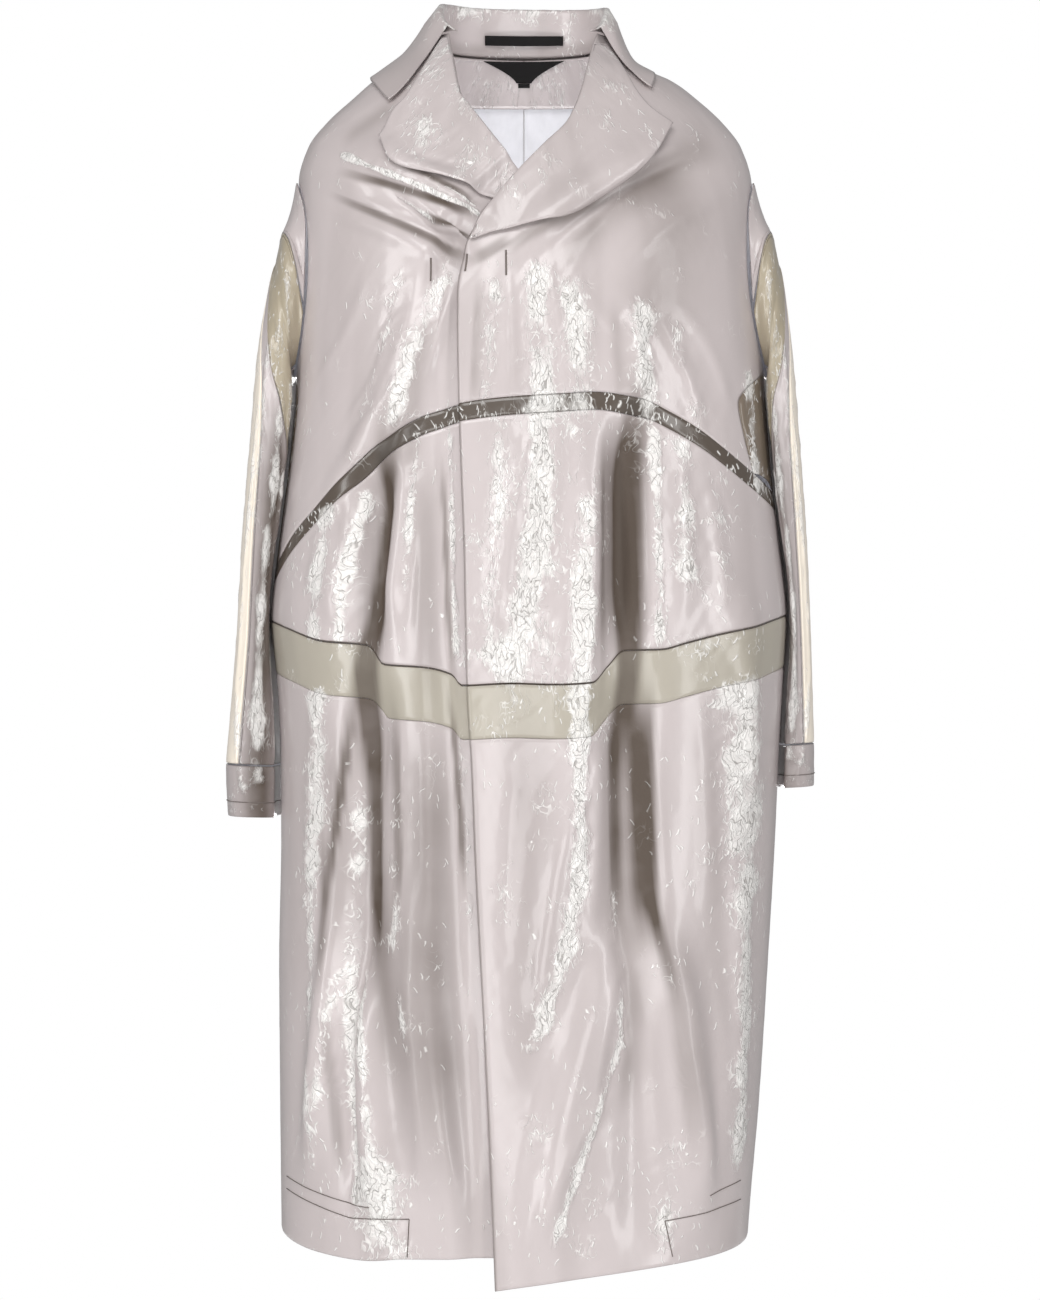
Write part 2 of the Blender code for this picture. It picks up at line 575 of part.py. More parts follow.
def build_lapel(side, word, edge, outline):
    """A lapel: from the roll line to its outer edge, turned back on the front."""
    outline = np.array(outline, dtype=float) * MM
    lengths = np.concatenate(([0], np.cumsum(np.linalg.norm(np.diff(outline, axis=0), axis=1))))
    parts = []
    for part, lines in ((slice(0, LAPEL_TIP + 1), TIP_LINES), (slice(LAPEL_TIP, None), BREAK_LINES)):
        at = np.linspace(lengths[part][0], lengths[part][-1], lines + 1)
        parts.append(np.stack([at] + [smooth(at, lengths[part], outline[part, i]) for i in (0, 1)], axis=-1))
    edge_points = np.concatenate((parts[0][:-1], parts[1]))
    share, outer = edge_points[:, 0] / lengths[-1], edge_points[:, 1:]
    top, bottom = outline[0, 1], outline[-1, 1]
    roll_height = top + (bottom - top) * share
    heights, across = rows(edge).T
    roll = np.stack((smooth(roll_height, heights, across) + side * ROLL_CLEAR, roll_height), axis=-1)
    s = np.linspace(0, 1, LAPEL_COLUMNS + 1)[:, None, None]
    flat = roll[None] * (1 - s) + outer[None] * s
    turn = turn_at(flat[..., 0], flat[..., 1])
    lapped = np.zeros_like(turn) if side > 0 else lap_share(turn, flat[..., 1])
    fullness = np.sin(s[..., 0] * math.pi / 2) * np.sin(math.pi * share[None, :] ** LAPEL_FULLEST)
    stand = LAPEL_LIFT + LAPEL_STAND * fullness
    lift = stand * (1 - lapped) - LAPPED_LAPEL_DEPTH * lapped
    cloth_piece(f"lapel_{word}", lifted_point(turn, flat[..., 1], lift), "film_cloth")


def collar_half(table, side):
    """Points of one half of the collar's neck seam, fold, middle and free edge, from the centre back."""
    half = np.array(table, dtype=float)
    stations = np.arange(len(half), dtype=float)
    fine = np.linspace(0, len(half) - 1, COLLAR_STATIONS)
    columns = [smooth(fine, stations, column) for column in half.T]
    turns, heights = np.array(NECK_SEAM, dtype=float).T
    seams = coat_point(side * np.radians(columns[0]), smooth(columns[0], turns, heights * MM))
    seams[:, 2] += COLLAR_GAP
    return [seams] + [np.stack(columns[i:i + 3], axis=-1) * MM * (side, 1, 1) for i in (1, 4, 7)]


def collar_rows():
    """Points of the whole collar's neck seam, fold, middle and free edge, from the right end to the left."""
    halves = zip(collar_half(COLLAR_RIGHT, -1), collar_half(COLLAR_LEFT, 1))
    return [np.concatenate((right[::-1][:-1], left)) for right, left in halves]


def pushed_clear(points, clear):
    """Points moved straight out from the coat's axis where they are less than clear from its surface."""
    turn = np.arctan2(points[..., 0], -points[..., 1])
    reach = np.hypot(points[..., 0], points[..., 1])
    least = plain_radius(turn, points[..., 2]) + fold_heights(turn, points[..., 2]) + clear
    grow = (np.maximum(reach, least) / reach)[..., None]
    return points * np.concatenate((grow, grow, np.ones_like(grow)), axis=-1)


def build_collar():
    """The collar: a stand from the neck seam to the fold, and the fall over its back."""
    seams, folds, middles, edges = collar_rows()
    profile = [seams * (1 - share) + folds * share for share in STAND_SHARES]
    outward = edges - folds
    outward[:, 2] = 0
    outward = outward / np.linalg.norm(outward, axis=1, keepdims=True)
    profile.append(folds + outward * FOLD_ROUND + np.array((0, 0, FOLD_RISE)))
    for share in FALL_SHARES:
        start = folds + outward * FALL_OFF * (1 - share)
        bend = middles - (folds + edges) / 2
        fall = start * (1 - share) + edges * share + bend * 4 * share * (1 - share)
        profile.append(pushed_clear(fall, COLLAR_CLEAR))
    cloth_piece("collar", np.stack(profile, axis=1), "film_cloth")


def build_neck_trims():
    """The back neck facing, the bare label and size tab on it, and the hanger loop on the collar stand."""
    def facing_side(side):
        return lambda height: np.full_like(height, math.pi + side * FACING_HALF_TURN)

    edges = (facing_side(-1), facing_side(1))
    turn, height = stack_grid(edges, (14,), shifted(neck_seam, FACING_GAP), level(NECK_FACING_HEM), 6)
    cloth_piece("neck_facing", lifted_point(turn, height, np.full_like(turn, -FACING_DROP)), "film_cloth")

    drop = FACING_DROP + LABEL_DROP
    trim_patch("neck_label", LABEL_TOP, LABEL_BOTTOM, LABEL_HALF_TOP, LABEL_HALF_BOTTOM, drop, 8)
    tab_top = LABEL_BOTTOM - TAB_GAP
    trim_patch("size_tab", tab_top, tab_top - TAB_HEIGHT, TAB_HALF, TAB_HALF, drop, 1)

    seams, folds = collar_rows()[:2]
    across = np.linspace(-LOOP_HALF, LOOP_HALF, 9)
    order = np.argsort(seams[:, 0])
    sheet = []
    for share in (LOOP_BOTTOM, LOOP_TOP):
        line = seams * (1 - share) + folds * share
        x, y, z = [np.interp(across, line[order, 0], line[order, i]) for i in range(3)]
        away = LOOP_OFF + LOOP_SLACK * np.cos(across / LOOP_HALF * math.pi / 2)
        sheet.append(np.stack((x, y - away, z), axis=-1))
    cloth_piece("hanger_loop", np.stack(sheet, axis=1), "black_trim", wall=LOOP_WALL)


def trim_patch(name, top, bottom, half_top, half_bottom, drop, columns):
    """A patch inside the back of the neck, straight at its top and bottom, with hollow sides."""
    s = np.linspace(-1, 1, columns + 1)[:, None]
    t = np.linspace(0, 1, 5)[None, :]
    height = top * (1 - t) + bottom * t + 0 * s
    across = s * (half_bottom + (half_top - half_bottom) * (1 - t) ** LABEL_HOLLOW)
    turn = np.mod(turn_at(across, height, "back"), 2 * math.pi)
    cloth_piece(name, lifted_point(turn, height, np.full_like(turn, -drop)), "black_trim", wall=LABEL_WALL)


def side_reach(y, height, side):
    """How far out the coat's unfolded side reaches at a depth and height."""
    heights, right, left, front, back = SECTION_ROWS.T
    half = smooth(height, heights, left if side > 0 else right)
    depth = np.where(y < 0, smooth(height, heights, front), smooth(height, heights, back))
    power = np.where(y < 0, FRONT_SQUARE, BACK_SQUARE)
    share = np.clip(np.abs(y) / depth, 0, 1)
    return half * (1 - share ** power) ** (1 / power)


def sleeve_point(along, ring, side, table):
    """A sleeve's point: along it from the armhole (0) to the cuff's end (1), and round it in degrees."""
    values = np.array(table, dtype=float) * MM
    stations = np.linspace(0, 1, len(values))
    columns = [smooth(along, stations, column) for column in values.T]
    outer_x, outer_z, inner_x, inner_z, middle, depth = columns
    swing = np.cos(np.radians(ring))
    swing = np.sign(swing) * np.abs(swing) ** SLEEVE_SQUARE
    sweep = np.sin(np.radians(ring))
    sweep = np.sign(sweep) * np.abs(sweep) ** SLEEVE_SQUARE
    x = (outer_x + inner_x) / 2 - (outer_x - inner_x) / 2 * swing
    z = (outer_z + inner_z) / 2 - (outer_z - inner_z) / 2 * swing
    leave = np.sin(np.clip(along / SLEEVE_HEAD, 0, 1) * math.pi / 2)
    y = middle - (depth + SLEEVE_STAND * leave) * sweep
    start = 1 - leave
    clear = SLEEVE_CLEAR * leave + SLEEVE_LAP * start
    stand = SLEEVE_STAND * leave * (1 - ease(along / SLEEVE_STAND_END)) * sweep ** 2
    body = side_reach(y, z, side) + clear + stand
    x = body * start + (1 - start) * soft_max(x, body)
    return np.stack((side * x, y, z), axis=-1)


def soft_max(a, b):
    """The larger of two values, with a soft change from one to the other."""
    return (a + b + np.sqrt((a - b) ** 2 + SLEEVE_BLEND ** 2)) / 2


def relaxed(points):
    """A grid with every inner point moved halfway to the mean of its four neighbours."""
    eased = points.copy()
    around = points[2:, 1:-1] + points[:-2, 1:-1] + points[1:-1, 2:] + points[1:-1, :-2]
    eased[1:-1, 1:-1] = points[1:-1, 1:-1] / 2 + around / 8
    return eased


def build_sleeve(side, word, table):
    """A sleeve: insert at the top of its front, front, outer strip, back with the cap, and cuff."""
    along, insert_end, strip_start, back_start = np.array(SLEEVE_SEAMS, dtype=float).T
    gap = SLEEVE_GAP + SLEEVE_HEAD_GAP * (1 - ease(along / SLEEVE_HEAD))
    inner = np.full_like(along, INNER_SEAM)
    cap_end = np.full_like(along, CAP_END)
    pieces = (
        ("sleeve_insert", (inner + gap, insert_end - gap), (6,), slice(0, INSERT_ROWS), "khaki_cloth"),
        ("sleeve_front", (insert_end + gap, strip_start - gap), (5,), slice(FRONT_ROW, None), "film_cloth"),
        ("sleeve_strip", (strip_start + gap, back_start - gap), (4,), slice(STRIP_ROW, None), "cream_film"),
        ("sleeve_back", (back_start + gap, cap_end, inner + 360 - gap), (4, 8), slice(0, None), "film_cloth"),
    )
    for name, edges, columns, rows_used, finish in pieces:
        ring = shared_out([edge[rows_used] for edge in edges], columns)
        lines = along[rows_used] + np.zeros_like(ring)
        cloth_piece(f"{name}_{word}", relaxed(sleeve_point(lines, ring, side, table)), finish)
    cuff_along = np.linspace(along[-1] + CUFF_GAP, 1, CUFF_LINES + 1)[None, :]
    ring = np.linspace(0, 360, CUFF_COLUMNS + 1)[:, None]
    cuff_along, ring = np.broadcast_arrays(cuff_along, ring)
    cloth_piece(f"cuff_{word}", sleeve_point(cuff_along, ring, side, table), "film_cloth", closed=True)


for old in list(bpy.data.objects):
    bpy.data.objects.remove(old, do_unlink=True)
COAT = bpy.data.collections.new("raincoat")
bpy.context.scene.collection.children.link(COAT)

build_front(1, "left")
build_front(-1, "right")
build_back(1, "left")
build_back(-1, "right")
build_lapel(1, "left", OVER_EDGE, LAPEL_LEFT)
build_lapel(-1, "right", UNDER_EDGE, LAPEL_RIGHT)
build_collar()
build_neck_trims()
build_sleeve(1, "left", SLEEVE_LEFT)
build_sleeve(-1, "right", SLEEVE_RIGHT)
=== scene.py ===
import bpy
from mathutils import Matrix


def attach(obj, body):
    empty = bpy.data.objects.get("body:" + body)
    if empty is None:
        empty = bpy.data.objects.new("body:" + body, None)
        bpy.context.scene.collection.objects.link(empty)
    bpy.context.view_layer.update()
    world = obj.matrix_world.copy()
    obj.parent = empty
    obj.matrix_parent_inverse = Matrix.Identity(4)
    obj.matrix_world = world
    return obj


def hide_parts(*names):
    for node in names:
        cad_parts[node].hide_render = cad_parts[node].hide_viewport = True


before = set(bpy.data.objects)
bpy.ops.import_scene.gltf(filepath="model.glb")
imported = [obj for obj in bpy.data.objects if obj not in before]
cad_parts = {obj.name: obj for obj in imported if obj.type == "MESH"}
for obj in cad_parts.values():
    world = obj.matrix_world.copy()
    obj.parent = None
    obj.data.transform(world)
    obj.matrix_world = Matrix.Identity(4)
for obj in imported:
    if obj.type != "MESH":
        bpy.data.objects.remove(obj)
"""Raincoat: glossy crinkled film over grey cloth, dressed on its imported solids.

Every body piece is a grid on one garment surface, which horizontal sections (SECTIONS) and soft folds
(FOLDS) give; finer creases (CREASES) and a crumpled relief are added along its normals. Sleeves, collar and
lapels are grids through their own rows. Metres, +Z up, the front faces -Y, the wearer's left is +X.
"""
import functools
import math

import bpy
import numpy as np

bl_info = {
    "name": "Raincoat",
    "version": (1, 0, 0),
    "blender": (4, 5, 0),
    "location": "3D View > Sidebar > Raincoat",
    "description": "Film-covered raincoat with a turned-back collar, in its worn form",
    "category": "Object",
}

MM = 0.001
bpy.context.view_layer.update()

# Sizes of the coat's form
SEAM_GAP = 0.5 * MM         # clear space between two pieces at a seam
SEAM_SHADE = 1.4 * MM       # width of the dark line along a seam
LAP_DEPTH = 8.5 * MM        # how far the under front lies inside the over front
LAP_RUN = 30 * MM           # way in which it gets there, just before the over front's edge
LAP_EARLY = 18 * MM         # where it has got there, before the edge
LAPPED_LAPEL_DEPTH = 3.4 * MM
LAPEL_LIFT = 5.4 * MM       # lapel above the front it is turned back on
LAPEL_STAND = 5.0 * MM      # extra height of a lapel's outer edge
FACING_DROP = 4.2 * MM      # neck facing inside the back
LABEL_DROP = 2.4 * MM       # label inside the neck facing
LABEL_HOLLOW = 1.5          # hollowness of the label's slanting sides
LABEL_TOP = 38 * MM         # heights of its top and bottom
LABEL_BOTTOM = 18 * MM
LABEL_HALF_TOP = 42 * MM    # and half widths there
LABEL_HALF_BOTTOM = 8 * MM
TAB_HALF = 6 * MM           # half width of the size tab
TAB_TOP = 0.6 * MM          # top of the tab below the label
TAB_BOTTOM = 4.6 * MM       # and its bottom
TRIM_WALL = 0.9 * MM        # thickness of the label and the tab
LOOP_HALF = 39 * MM         # half length of the hanger loop
LOOP_SPAN = (0.24, 0.45)    # its lower and upper edge, as shares up the collar's stand
LOOP_REST = 3.2 * MM        # loop inside the stand at its ends
LOOP_HANG = 3 * MM          # and how much further at its middle
LOOP_WALL = 1.2 * MM
FACING_TURN = 62            # half width of the neck facing, in degrees of turn
FACING_RISE = 1.0 * MM      # facing above the neck seam
COLLAR_GAP = 2.0 * MM       # collar above the neck seam
COLLAR_CLEAR = 8.0 * MM     # collar's fall outside the shoulders
SLEEVE_LAP = 3.8 * MM       # sleeve head outside the armhole edge
SLEEVE_CLEAR = 7.0 * MM     # hanging sleeve clear of the body's side
SLEEVE_STAND = 9.0 * MM     # how far the sleeve stands off beside the armhole
SLEEVE_HEAD = 0.10          # share of the sleeve in which it leaves the body
SLEEVE_SQUARE = 0.79        # roundness of a sleeve's section
SLEEVE_BLEND = 5 * MM       # softness of the change from the armhole to the hanging sleeve
SLEEVE_STAND_END = 0.3      # share of the sleeve in which that stand-off dies out
FRONT_SQUARE = 2.3          # squareness of a section's front half, 2 is an ellipse
BACK_SQUARE = 2.15          # squareness of its back half
SIDE_TURN = math.pi / 2     # turn of the side seams; 0 is centre front, pi is centre back
MEAN_RADIUS = 200 * MM      # radius at which a turn round the coat is measured as a length
SEAM_LINES = (1.1, 3.0)     # the extra lines of a grid along a seam, in millimetres from it
SEAM_ROUNDS = 6             # rounds in which the height of a seam that a table gives is found
ROUNDS = 12                 # rounds in which a grid's heights and turns settle
EDGE_CALM = 8 * MM          # way in from a piece's edge in which its creases reach their height
DEEP_TROUGH = 13 * MM       # depth at which a trough has its full shade
TROUGH_SHADE = 0.15         # that shade
RELIEF_WAVES = (11, 13, 16, 20, 26)     # lengths of the crumpled relief's waves, in millimetres
SLACK = 0.12                # share of the crumpled relief that the film has everywhere
STITCH_STEP = 4 * MM        # length of thread between two points of a sewn line
THREAD_LIFT = 1.0           # thread above the cloth's middle, in millimetres
THREAD_HALF = 0.32          # half width of a thread, in millimetres
SLIT_HALF = 0.8             # half width of a slit's binding, in millimetres
THREAD_RISE = 0.35          # how much higher a thread's middle is than its sides, in millimetres
CUFF_THREAD_RISE = 0.3 * MM     # the same of the thread round a cuff
THREAD_WALL = 0.3 * MM
ROLL_INSET = 1.2 * MM       # lapel's roll line inside the front's edge
FOLD_REACH = 0.12           # share of a fold's length that it goes on past its ends
FOLD_FADE = 0.4             # share of it in which it rises
CRISP = 4                   # power of a bell with crisp sides
SHADE_CALM = 0.8            # share of its crumple that a piece loses in full shade

# Horizontal sections, in millimetres: half widths to the wearer's right and left, and the depths in front
# of and behind the origin.
# A row: height, right, left, front, back.
SECTIONS = ((48, 82, 78, 45, 62), (36, 100, 90, 56, 74), (20, 122, 106, 69, 86), (10, 136, 124, 77, 92),
            (0, 150, 147, 84, 98), (-18, 170, 171, 96, 108), (-38, 192, 193, 106, 117),
            (-64, 212, 213, 118, 126), (-97, 221, 223, 130, 134), (-146, 220, 226, 143, 140),
            (-210, 221, 229, 152, 145), (-285, 223, 235, 158, 150), (-370, 230, 241, 163, 156),
            (-450, 240, 250, 168, 162), (-527, 248, 257, 173, 168), (-580, 243, 254, 173, 168),
            (-650, 239, 250, 172, 166), (-740, 238, 246, 172, 165), (-860, 240, 239, 172, 165),
            (-1000, 239, 230, 173, 165), (-1090, 238, 222, 174, 166), (-1170, 237, 216, 175, 166))

# Soft folds, in millimetres on the coat's front or back: the two ends of the fold's line, how far its middle
# bows sideways, its half widths on the two sides, and its height (a trough is negative).
# A row: from x, z, to x, z, bow, side, side, height.
FOLDS = {
    "front": (
        (-178, -70, -30, -146, -6, 13, 16, 9), (-190, -98, -48, -172, -8, 10, 14, 8),
        (-150, -108, -55, -190, -4, 12, 12, -8), (165, -62, -12, -180, 10, 16, 12, 7),
        (185, -95, 10, -186, 14, 15, 15, -5), (-100, -222, -186, -410, -10, 12, 18, 7),
        (-74, -212, -122, -372, -6, 11, 14, 7), (-88, -250, -112, -560, 6, 12, 12, -6),
        (100, -225, 106, -330, 0, 10, 16, 5), (-140, -380, -152, -560, 0, 24, 18, -22),
        (-152, -560, -168, -900, -4, 22, 26, -17), (-164, -410, -184, -530, 0, 14, 14, 8),
        (-108, -375, -132, -530, 0, 14, 14, 7), (104, -330, 100, -560, 0, 26, 12, -24),
        (100, -555, 100, -900, 0, 30, 26, -17), (10, -330, -20, -560, 12, 22, 24, 8),
        (62, -400, 48, -660, 0, 16, 20, 9), (50, -660, 10, -950, 6, 24, 28, 9),
        (196, -480, 212, -720, -6, 22, 22, 7), (206, -700, 200, -1060, 4, 22, 22, 6),
        (-178, -790, -204, -1060, 0, 14, 18, 10), (-160, -820, -166, -1090, 0, 12, 12, -9),
        (-152, -850, -142, -1080, 6, 14, 16, 9), (-96, -760, -62, -1100, 16, 24, 22, 10),
        (92, -820, 10, -1140, 10, 18, 26, 11), (134, -820, 170, -1100, -6, 20, 16, 10),
        (112, -900, 108, -1130, 0, 26, 26, -8)),
    "back": (
        (-150, -60, -60, -230, 10, 22, 26, -7), (150, -60, 70, -250, -10, 22, 26, -7),
        (-70, -300, -84, -640, 6, 28, 30, -11), (88, -280, 96, -620, -6, 30, 26, -12),
        (6, -330, 12, -700, 8, 34, 30, 8), (-160, -560, -150, -1090, 8, 26, 32, 10),
        (-64, -640, -52, -1120, -8, 28, 26, -12), (20, -700, 30, -1130, 10, 30, 34, 10),
        (98, -620, 118, -1110, 6, 30, 28, -12), (168, -540, 176, -1040, -6, 24, 28, 8)),
}

# Creases on top of the folds, given in the same way.
# A row: from x, z, to x, z, bow, side, side, height.
CREASES = {
    "front": (
        (-170, -84, -42, -143, 0, 5, 8, 3.6), (-150, -62, -66, -118, 4, 6, 6, 1.8),
        (-190, -112, -58, -167, 0, 5, 9, 3), (-112, -84, -58, -104, 2, 5, 5, -1.4),
        (-183, -136, -66, -192, 0, 6, 12, 2.2), (-66, -192, -96, -300, -6, 5, 7, 2),
        (-84, -206, -132, -330, -6, 5, 7, 2), (-118, -230, -176, -352, -8, 6, 8, 1.8),
        (-150, -200, -200, -300, -8, 6, 8, 1.4), (-30, -196, -44, -300, 5, 5, 7, 1.6),
        (-16, -198, -12, -320, -3, 5, 8, 1.8), (4, -196, 16, -330, 4, 5, 7, 1.9),
        (22, -190, 48, -300, 4, 5, 7, 1.5), (44, -196, 92, -262, 4, 6, 8, 1.4),
        (150, -70, 20, -168, 8, 6, 7, 1.9), (176, -84, 60, -168, 8, 6, 8, 1.6),
        (196, -118, 92, -196, 8, 7, 8, 1.4), (122, -239, 167, -345, -8, 6, 8, 2),
        (100, -240, 108, -322, 0, 5, 7, 1.8), (150, -232, 196, -330, -8, 6, 8, 1.4),
        (-89, -367, -68, -579, -4, 5, 7, 2.2), (-110, -380, -128, -528, -3, 6, 8, 2),
        (-162, -408, -180, -528, 0, 6, 8, 2.2), (-194, -434, -204, -500, 0, 6, 8, 1.8),
        (-176, -420, -170, -540, 0, 6, 6, -1.6), (10, -336, -20, -520, 8, 6, 8, 1.9),
        (30, -330, 22, -470, -4, 5, 8, 1.6), (63, -405, 49, -640, -4, 6, 8, 2),
        (84, -380, 74, -560, 3, 5, 7, -1.6), (122, -360, 128, -520, 3, 6, 8, 1.8),
        (146, -372, 150, -520, -3, 7, 8, 2), (176, -400, 188, -520, -3, 7, 8, 1.7),
        (199, -538, 214, -700, -6, 7, 8, 1.8), (-200, -600, -206, -760, 3, 7, 8, 1.6),
        (-182, -620, -190, -860, -4, 7, 9, 1.8), (-124, -620, -138, -800, 4, 7, 9, 1.8),
        (-92, -630, -88, -800, 4, 8, 10, 2), (-64, -640, -54, -900, -4, 7, 9, 1.8),
        (49, -682, 9, -917, 6, 8, 10, 2.2), (-6, -640, -18, -860, 3, 8, 10, 1.6),
        (72, -640, 66, -800, -3, 7, 9, 1.6), (128, -620, 140, -800, 4, 7, 9, 1.8),
        (166, -600, 172, -820, -4, 8, 9, 1.7), (204, -775, 202, -988, 4, 7, 9, 1.9),
        (180, -860, 186, -1060, -4, 8, 9, 1.7), (-178, -809, -202, -1009, 0, 6, 8, 2.2),
        (-163, -830, -165, -1067, 3, 6, 7, -1.8), (-156, -874, -145, -1044, 4, 6, 8, 2),
        (-110, -860, -98, -1080, -6, 8, 9, 1.8), (-87, -879, -59, -1073, 6, 7, 9, 2.1),
        (-46, -900, -40, -1100, -3, 7, 8, 1.6), (74, -974, 7, -1118, 6, 7, 10, 2.2),
        (90, -850, 60, -1010, 4, 6, 9, 1.9), (40, -900, -4, -1090, 4, 8, 10, 1.8),
        (142, -908, 168, -1060, -4, 7, 8, 2.1), (122, -900, 136, -1080, 4, 6, 8, 1.6)),
    "back": (
        (-176, -84, -84, -196, 8, 8, 9, 2), (178, -90, 92, -210, -8, 8, 9, 2),
        (-120, -120, -60, -280, 6, 7, 9, 1.6), (118, -130, 52, -300, -6, 7, 9, 1.6),
        (-40, -60, -34, -240, 3, 7, 8, 1.3), (36, -80, 30, -260, -3, 7, 8, 1.3),
        (-190, -320, -176, -520, -6, 8, 9, 1.8), (192, -330, 178, -520, 6, 8, 9, 1.8),
        (-110, -330, -120, -520, 6, 8, 9, 1.7), (124, -320, 134, -520, -6, 8, 9, 1.7),
        (-36, -360, -44, -520, 4, 8, 9, 1.6), (46, -350, 52, -520, -4, 8, 9, 1.6),
        (-196, -600, -192, -900, 5, 8, 9, 1.8), (-128, -620, -112, -960, -5, 8, 10, 1.9),
        (-92, -700, -88, -1100, 4, 8, 9, 1.8), (-20, -640, -12, -1000, -5, 8, 10, 1.8),
        (52, -660, 62, -1080, 5, 8, 10, 1.9), (136, -600, 146, -980, -5, 8, 9, 1.9),
        (196, -620, 198, -980, 4, 8, 9, 1.8)),
}

# Bands where the film is crumpled, in millimetres: the two ends of a band, its half width and its strength.
# Besides the crumpled relief, a band carries painted highlights: more painted glints, and where it is
# dense a painted white glare veil.
# A row: from x, z, to x, z, half width, strength.
CRUMPLES = {
    "front": (
        (14, -210, 18, -336, 20, 0.9), (48, -222, 54, -322, 22, 0.7), (112, -236, 112, -330, 15, 0.9),
        (140, -240, 160, -330, 9, 0.5), (-28, -216, -36, -316, 12, 0.6), (-80, -210, -124, -340, 12, 0.8),
        # Rows from (-170, -81), (-108, -94), (-118, -126): painted glare streak and ridge highlights.
        (-118, -206, -152, -330, 9, 0.6), (-170, -81, -42, -143, 3.6, 1.25), (-108, -94, -44, -134, 2, 1),
        (-118, -126, -54, -168, 2, 1), (18, -326, 14, -450, 19, 1.1), (10, -450, -14, -575, 24, 1.05),
        (-22, -350, -30, -560, 14, 0.72), (56, -420, 50, -585, 14, 1), (26, -330, 4, -590, 66, 0.44),
        (40, -380, 22, -585, 30, 0.34), (-180, -440, -186, -560, 34, 0.3), (156, -350, 180, -540, 34, 0.3),
        (20, -620, 8, -900, 50, 0.2), (124, -350, 128, -545, 5, 1), (152, -362, 154, -480, 13, 0.8),
        (186, -400, 190, -500, 14, 0.45), (216, -292, 226, -410, 9, 0.75), (-188, -425, -202, -540, 12, 1.1),
        (-158, -410, -180, -545, 5, 1), (-103, -350, -114, -500, 4, 0.9), (-72, -340, -65, -560, 4, 0.9),
        (-100, -380, -92, -430, 12, 0.4), (-196, -600, -206, -800, 13, 0.8),
        (-204, -800, -198, -1050, 7, 0.8), (-165, -695, -171, -850, 8, 0.8), (-171, -850, -161, -1078, 6, 1),
        (-157, -865, -140, -1036, 5, 0.9), (-177, -862, -198, -1040, 6, 0.7),
        (-140, -1050, -128, -1112, 24, 1), (-123, -690, -122, -840, 7, 0.8), (-121, -840, -106, -936, 4, 0.8),
        (-62, -640, -50, -820, 6, 0.45), (50, -600, 52, -785, 11, 1.2), (50, -785, 28, -870, 12, 1.1),
        (28, -870, 8, -930, 9, 0.9), (2, -1000, 18, -1040, 12, 0.6), (92, -790, 91, -926, 4, 0.7),
        (91, -926, 26, -1115, 6, 0.9), (76, -1060, 60, -1120, 14, 0.4), (202, -600, 208, -780, 22, 1.1),
        (208, -780, 203, -1045, 13, 1), (136, -1030, 134, -1120, 12, 0.5)),
    "back": (
        (-80, -90, -64, -260, 10, 0.6), (92, -110, 66, -290, 12, 0.55), (-134, -330, -118, -500, 14, 0.6),
        (30, -330, 14, -470, 14, 0.6), (150, -350, 136, -520, 10, 0.55), (-60, -400, -70, -520, 40, 0.28),
        (100, -340, 90, -500, 44, 0.26), (-166, -600, -146, -900, 13, 0.62), (34, -640, 12, -960, 13, 0.62),
        (180, -590, 168, -820, 14, 0.55), (160, -840, 176, -1060, 8, 0.7), (-60, -780, -44, -1080, 9, 0.8),
        (-20, -980, 4, -1110, 12, 0.6), (-30, -640, -20, -1000, 54, 0.24)),
}

# Shaded runs with crisp sides, in folds: the two ends, bow, half widths on the two sides and strength.
# A row: from x, z, to x, z, bow, side, side, strength.
SHADES = {
    "front": (
        (108, -300, 96, -660, 0, 12, 12, 1), (-124, -335, -158, -660, 0, 12, 12, 1),
        (-158, -560, -148, -850, 0, 9, 9, 0.8), (-168, -600, -190, -802, 0, 4, 3, 0.6),
        (-123, -610, -117, -800, 0, 7, 3, 0.45), (-79, -380, -68, -590, 0, 2, 4, 0.55),
        (-72, -596, -58, -780, -2, 3, 4, 0.65), (120, -590, 124, -830, 0, 13, 6, 0.8),
        (116, -640, 137, -880, 4, 6, 4, 0.45), (88, -630, 92, -810, 0, 5, 10, 0.45),
        (-184, -900, -176, -1060, 0, 4, 4, 0.35), (-193, -720, -186, -880, 0, 6, 3, 0.4),
        (76, -340, 72, -600, 0, 3, 5, 0.3), (-164, -99, -44, -144, 0, 5, 3, 0.85),
        (-124, -88, -44, -130, 0, 2.5, 2.5, 0.7), (-176, -122, -54, -185, 0, 5, 2.5, 0.68),
        (-90, -143, -46, -167, 0, 4, 2.5, 0.85), (92, -122, -20, -178, 6, 4, 9, 0.5),
        (-48, -190, -12, -168, 0, 5, 8, 0.45)),
}

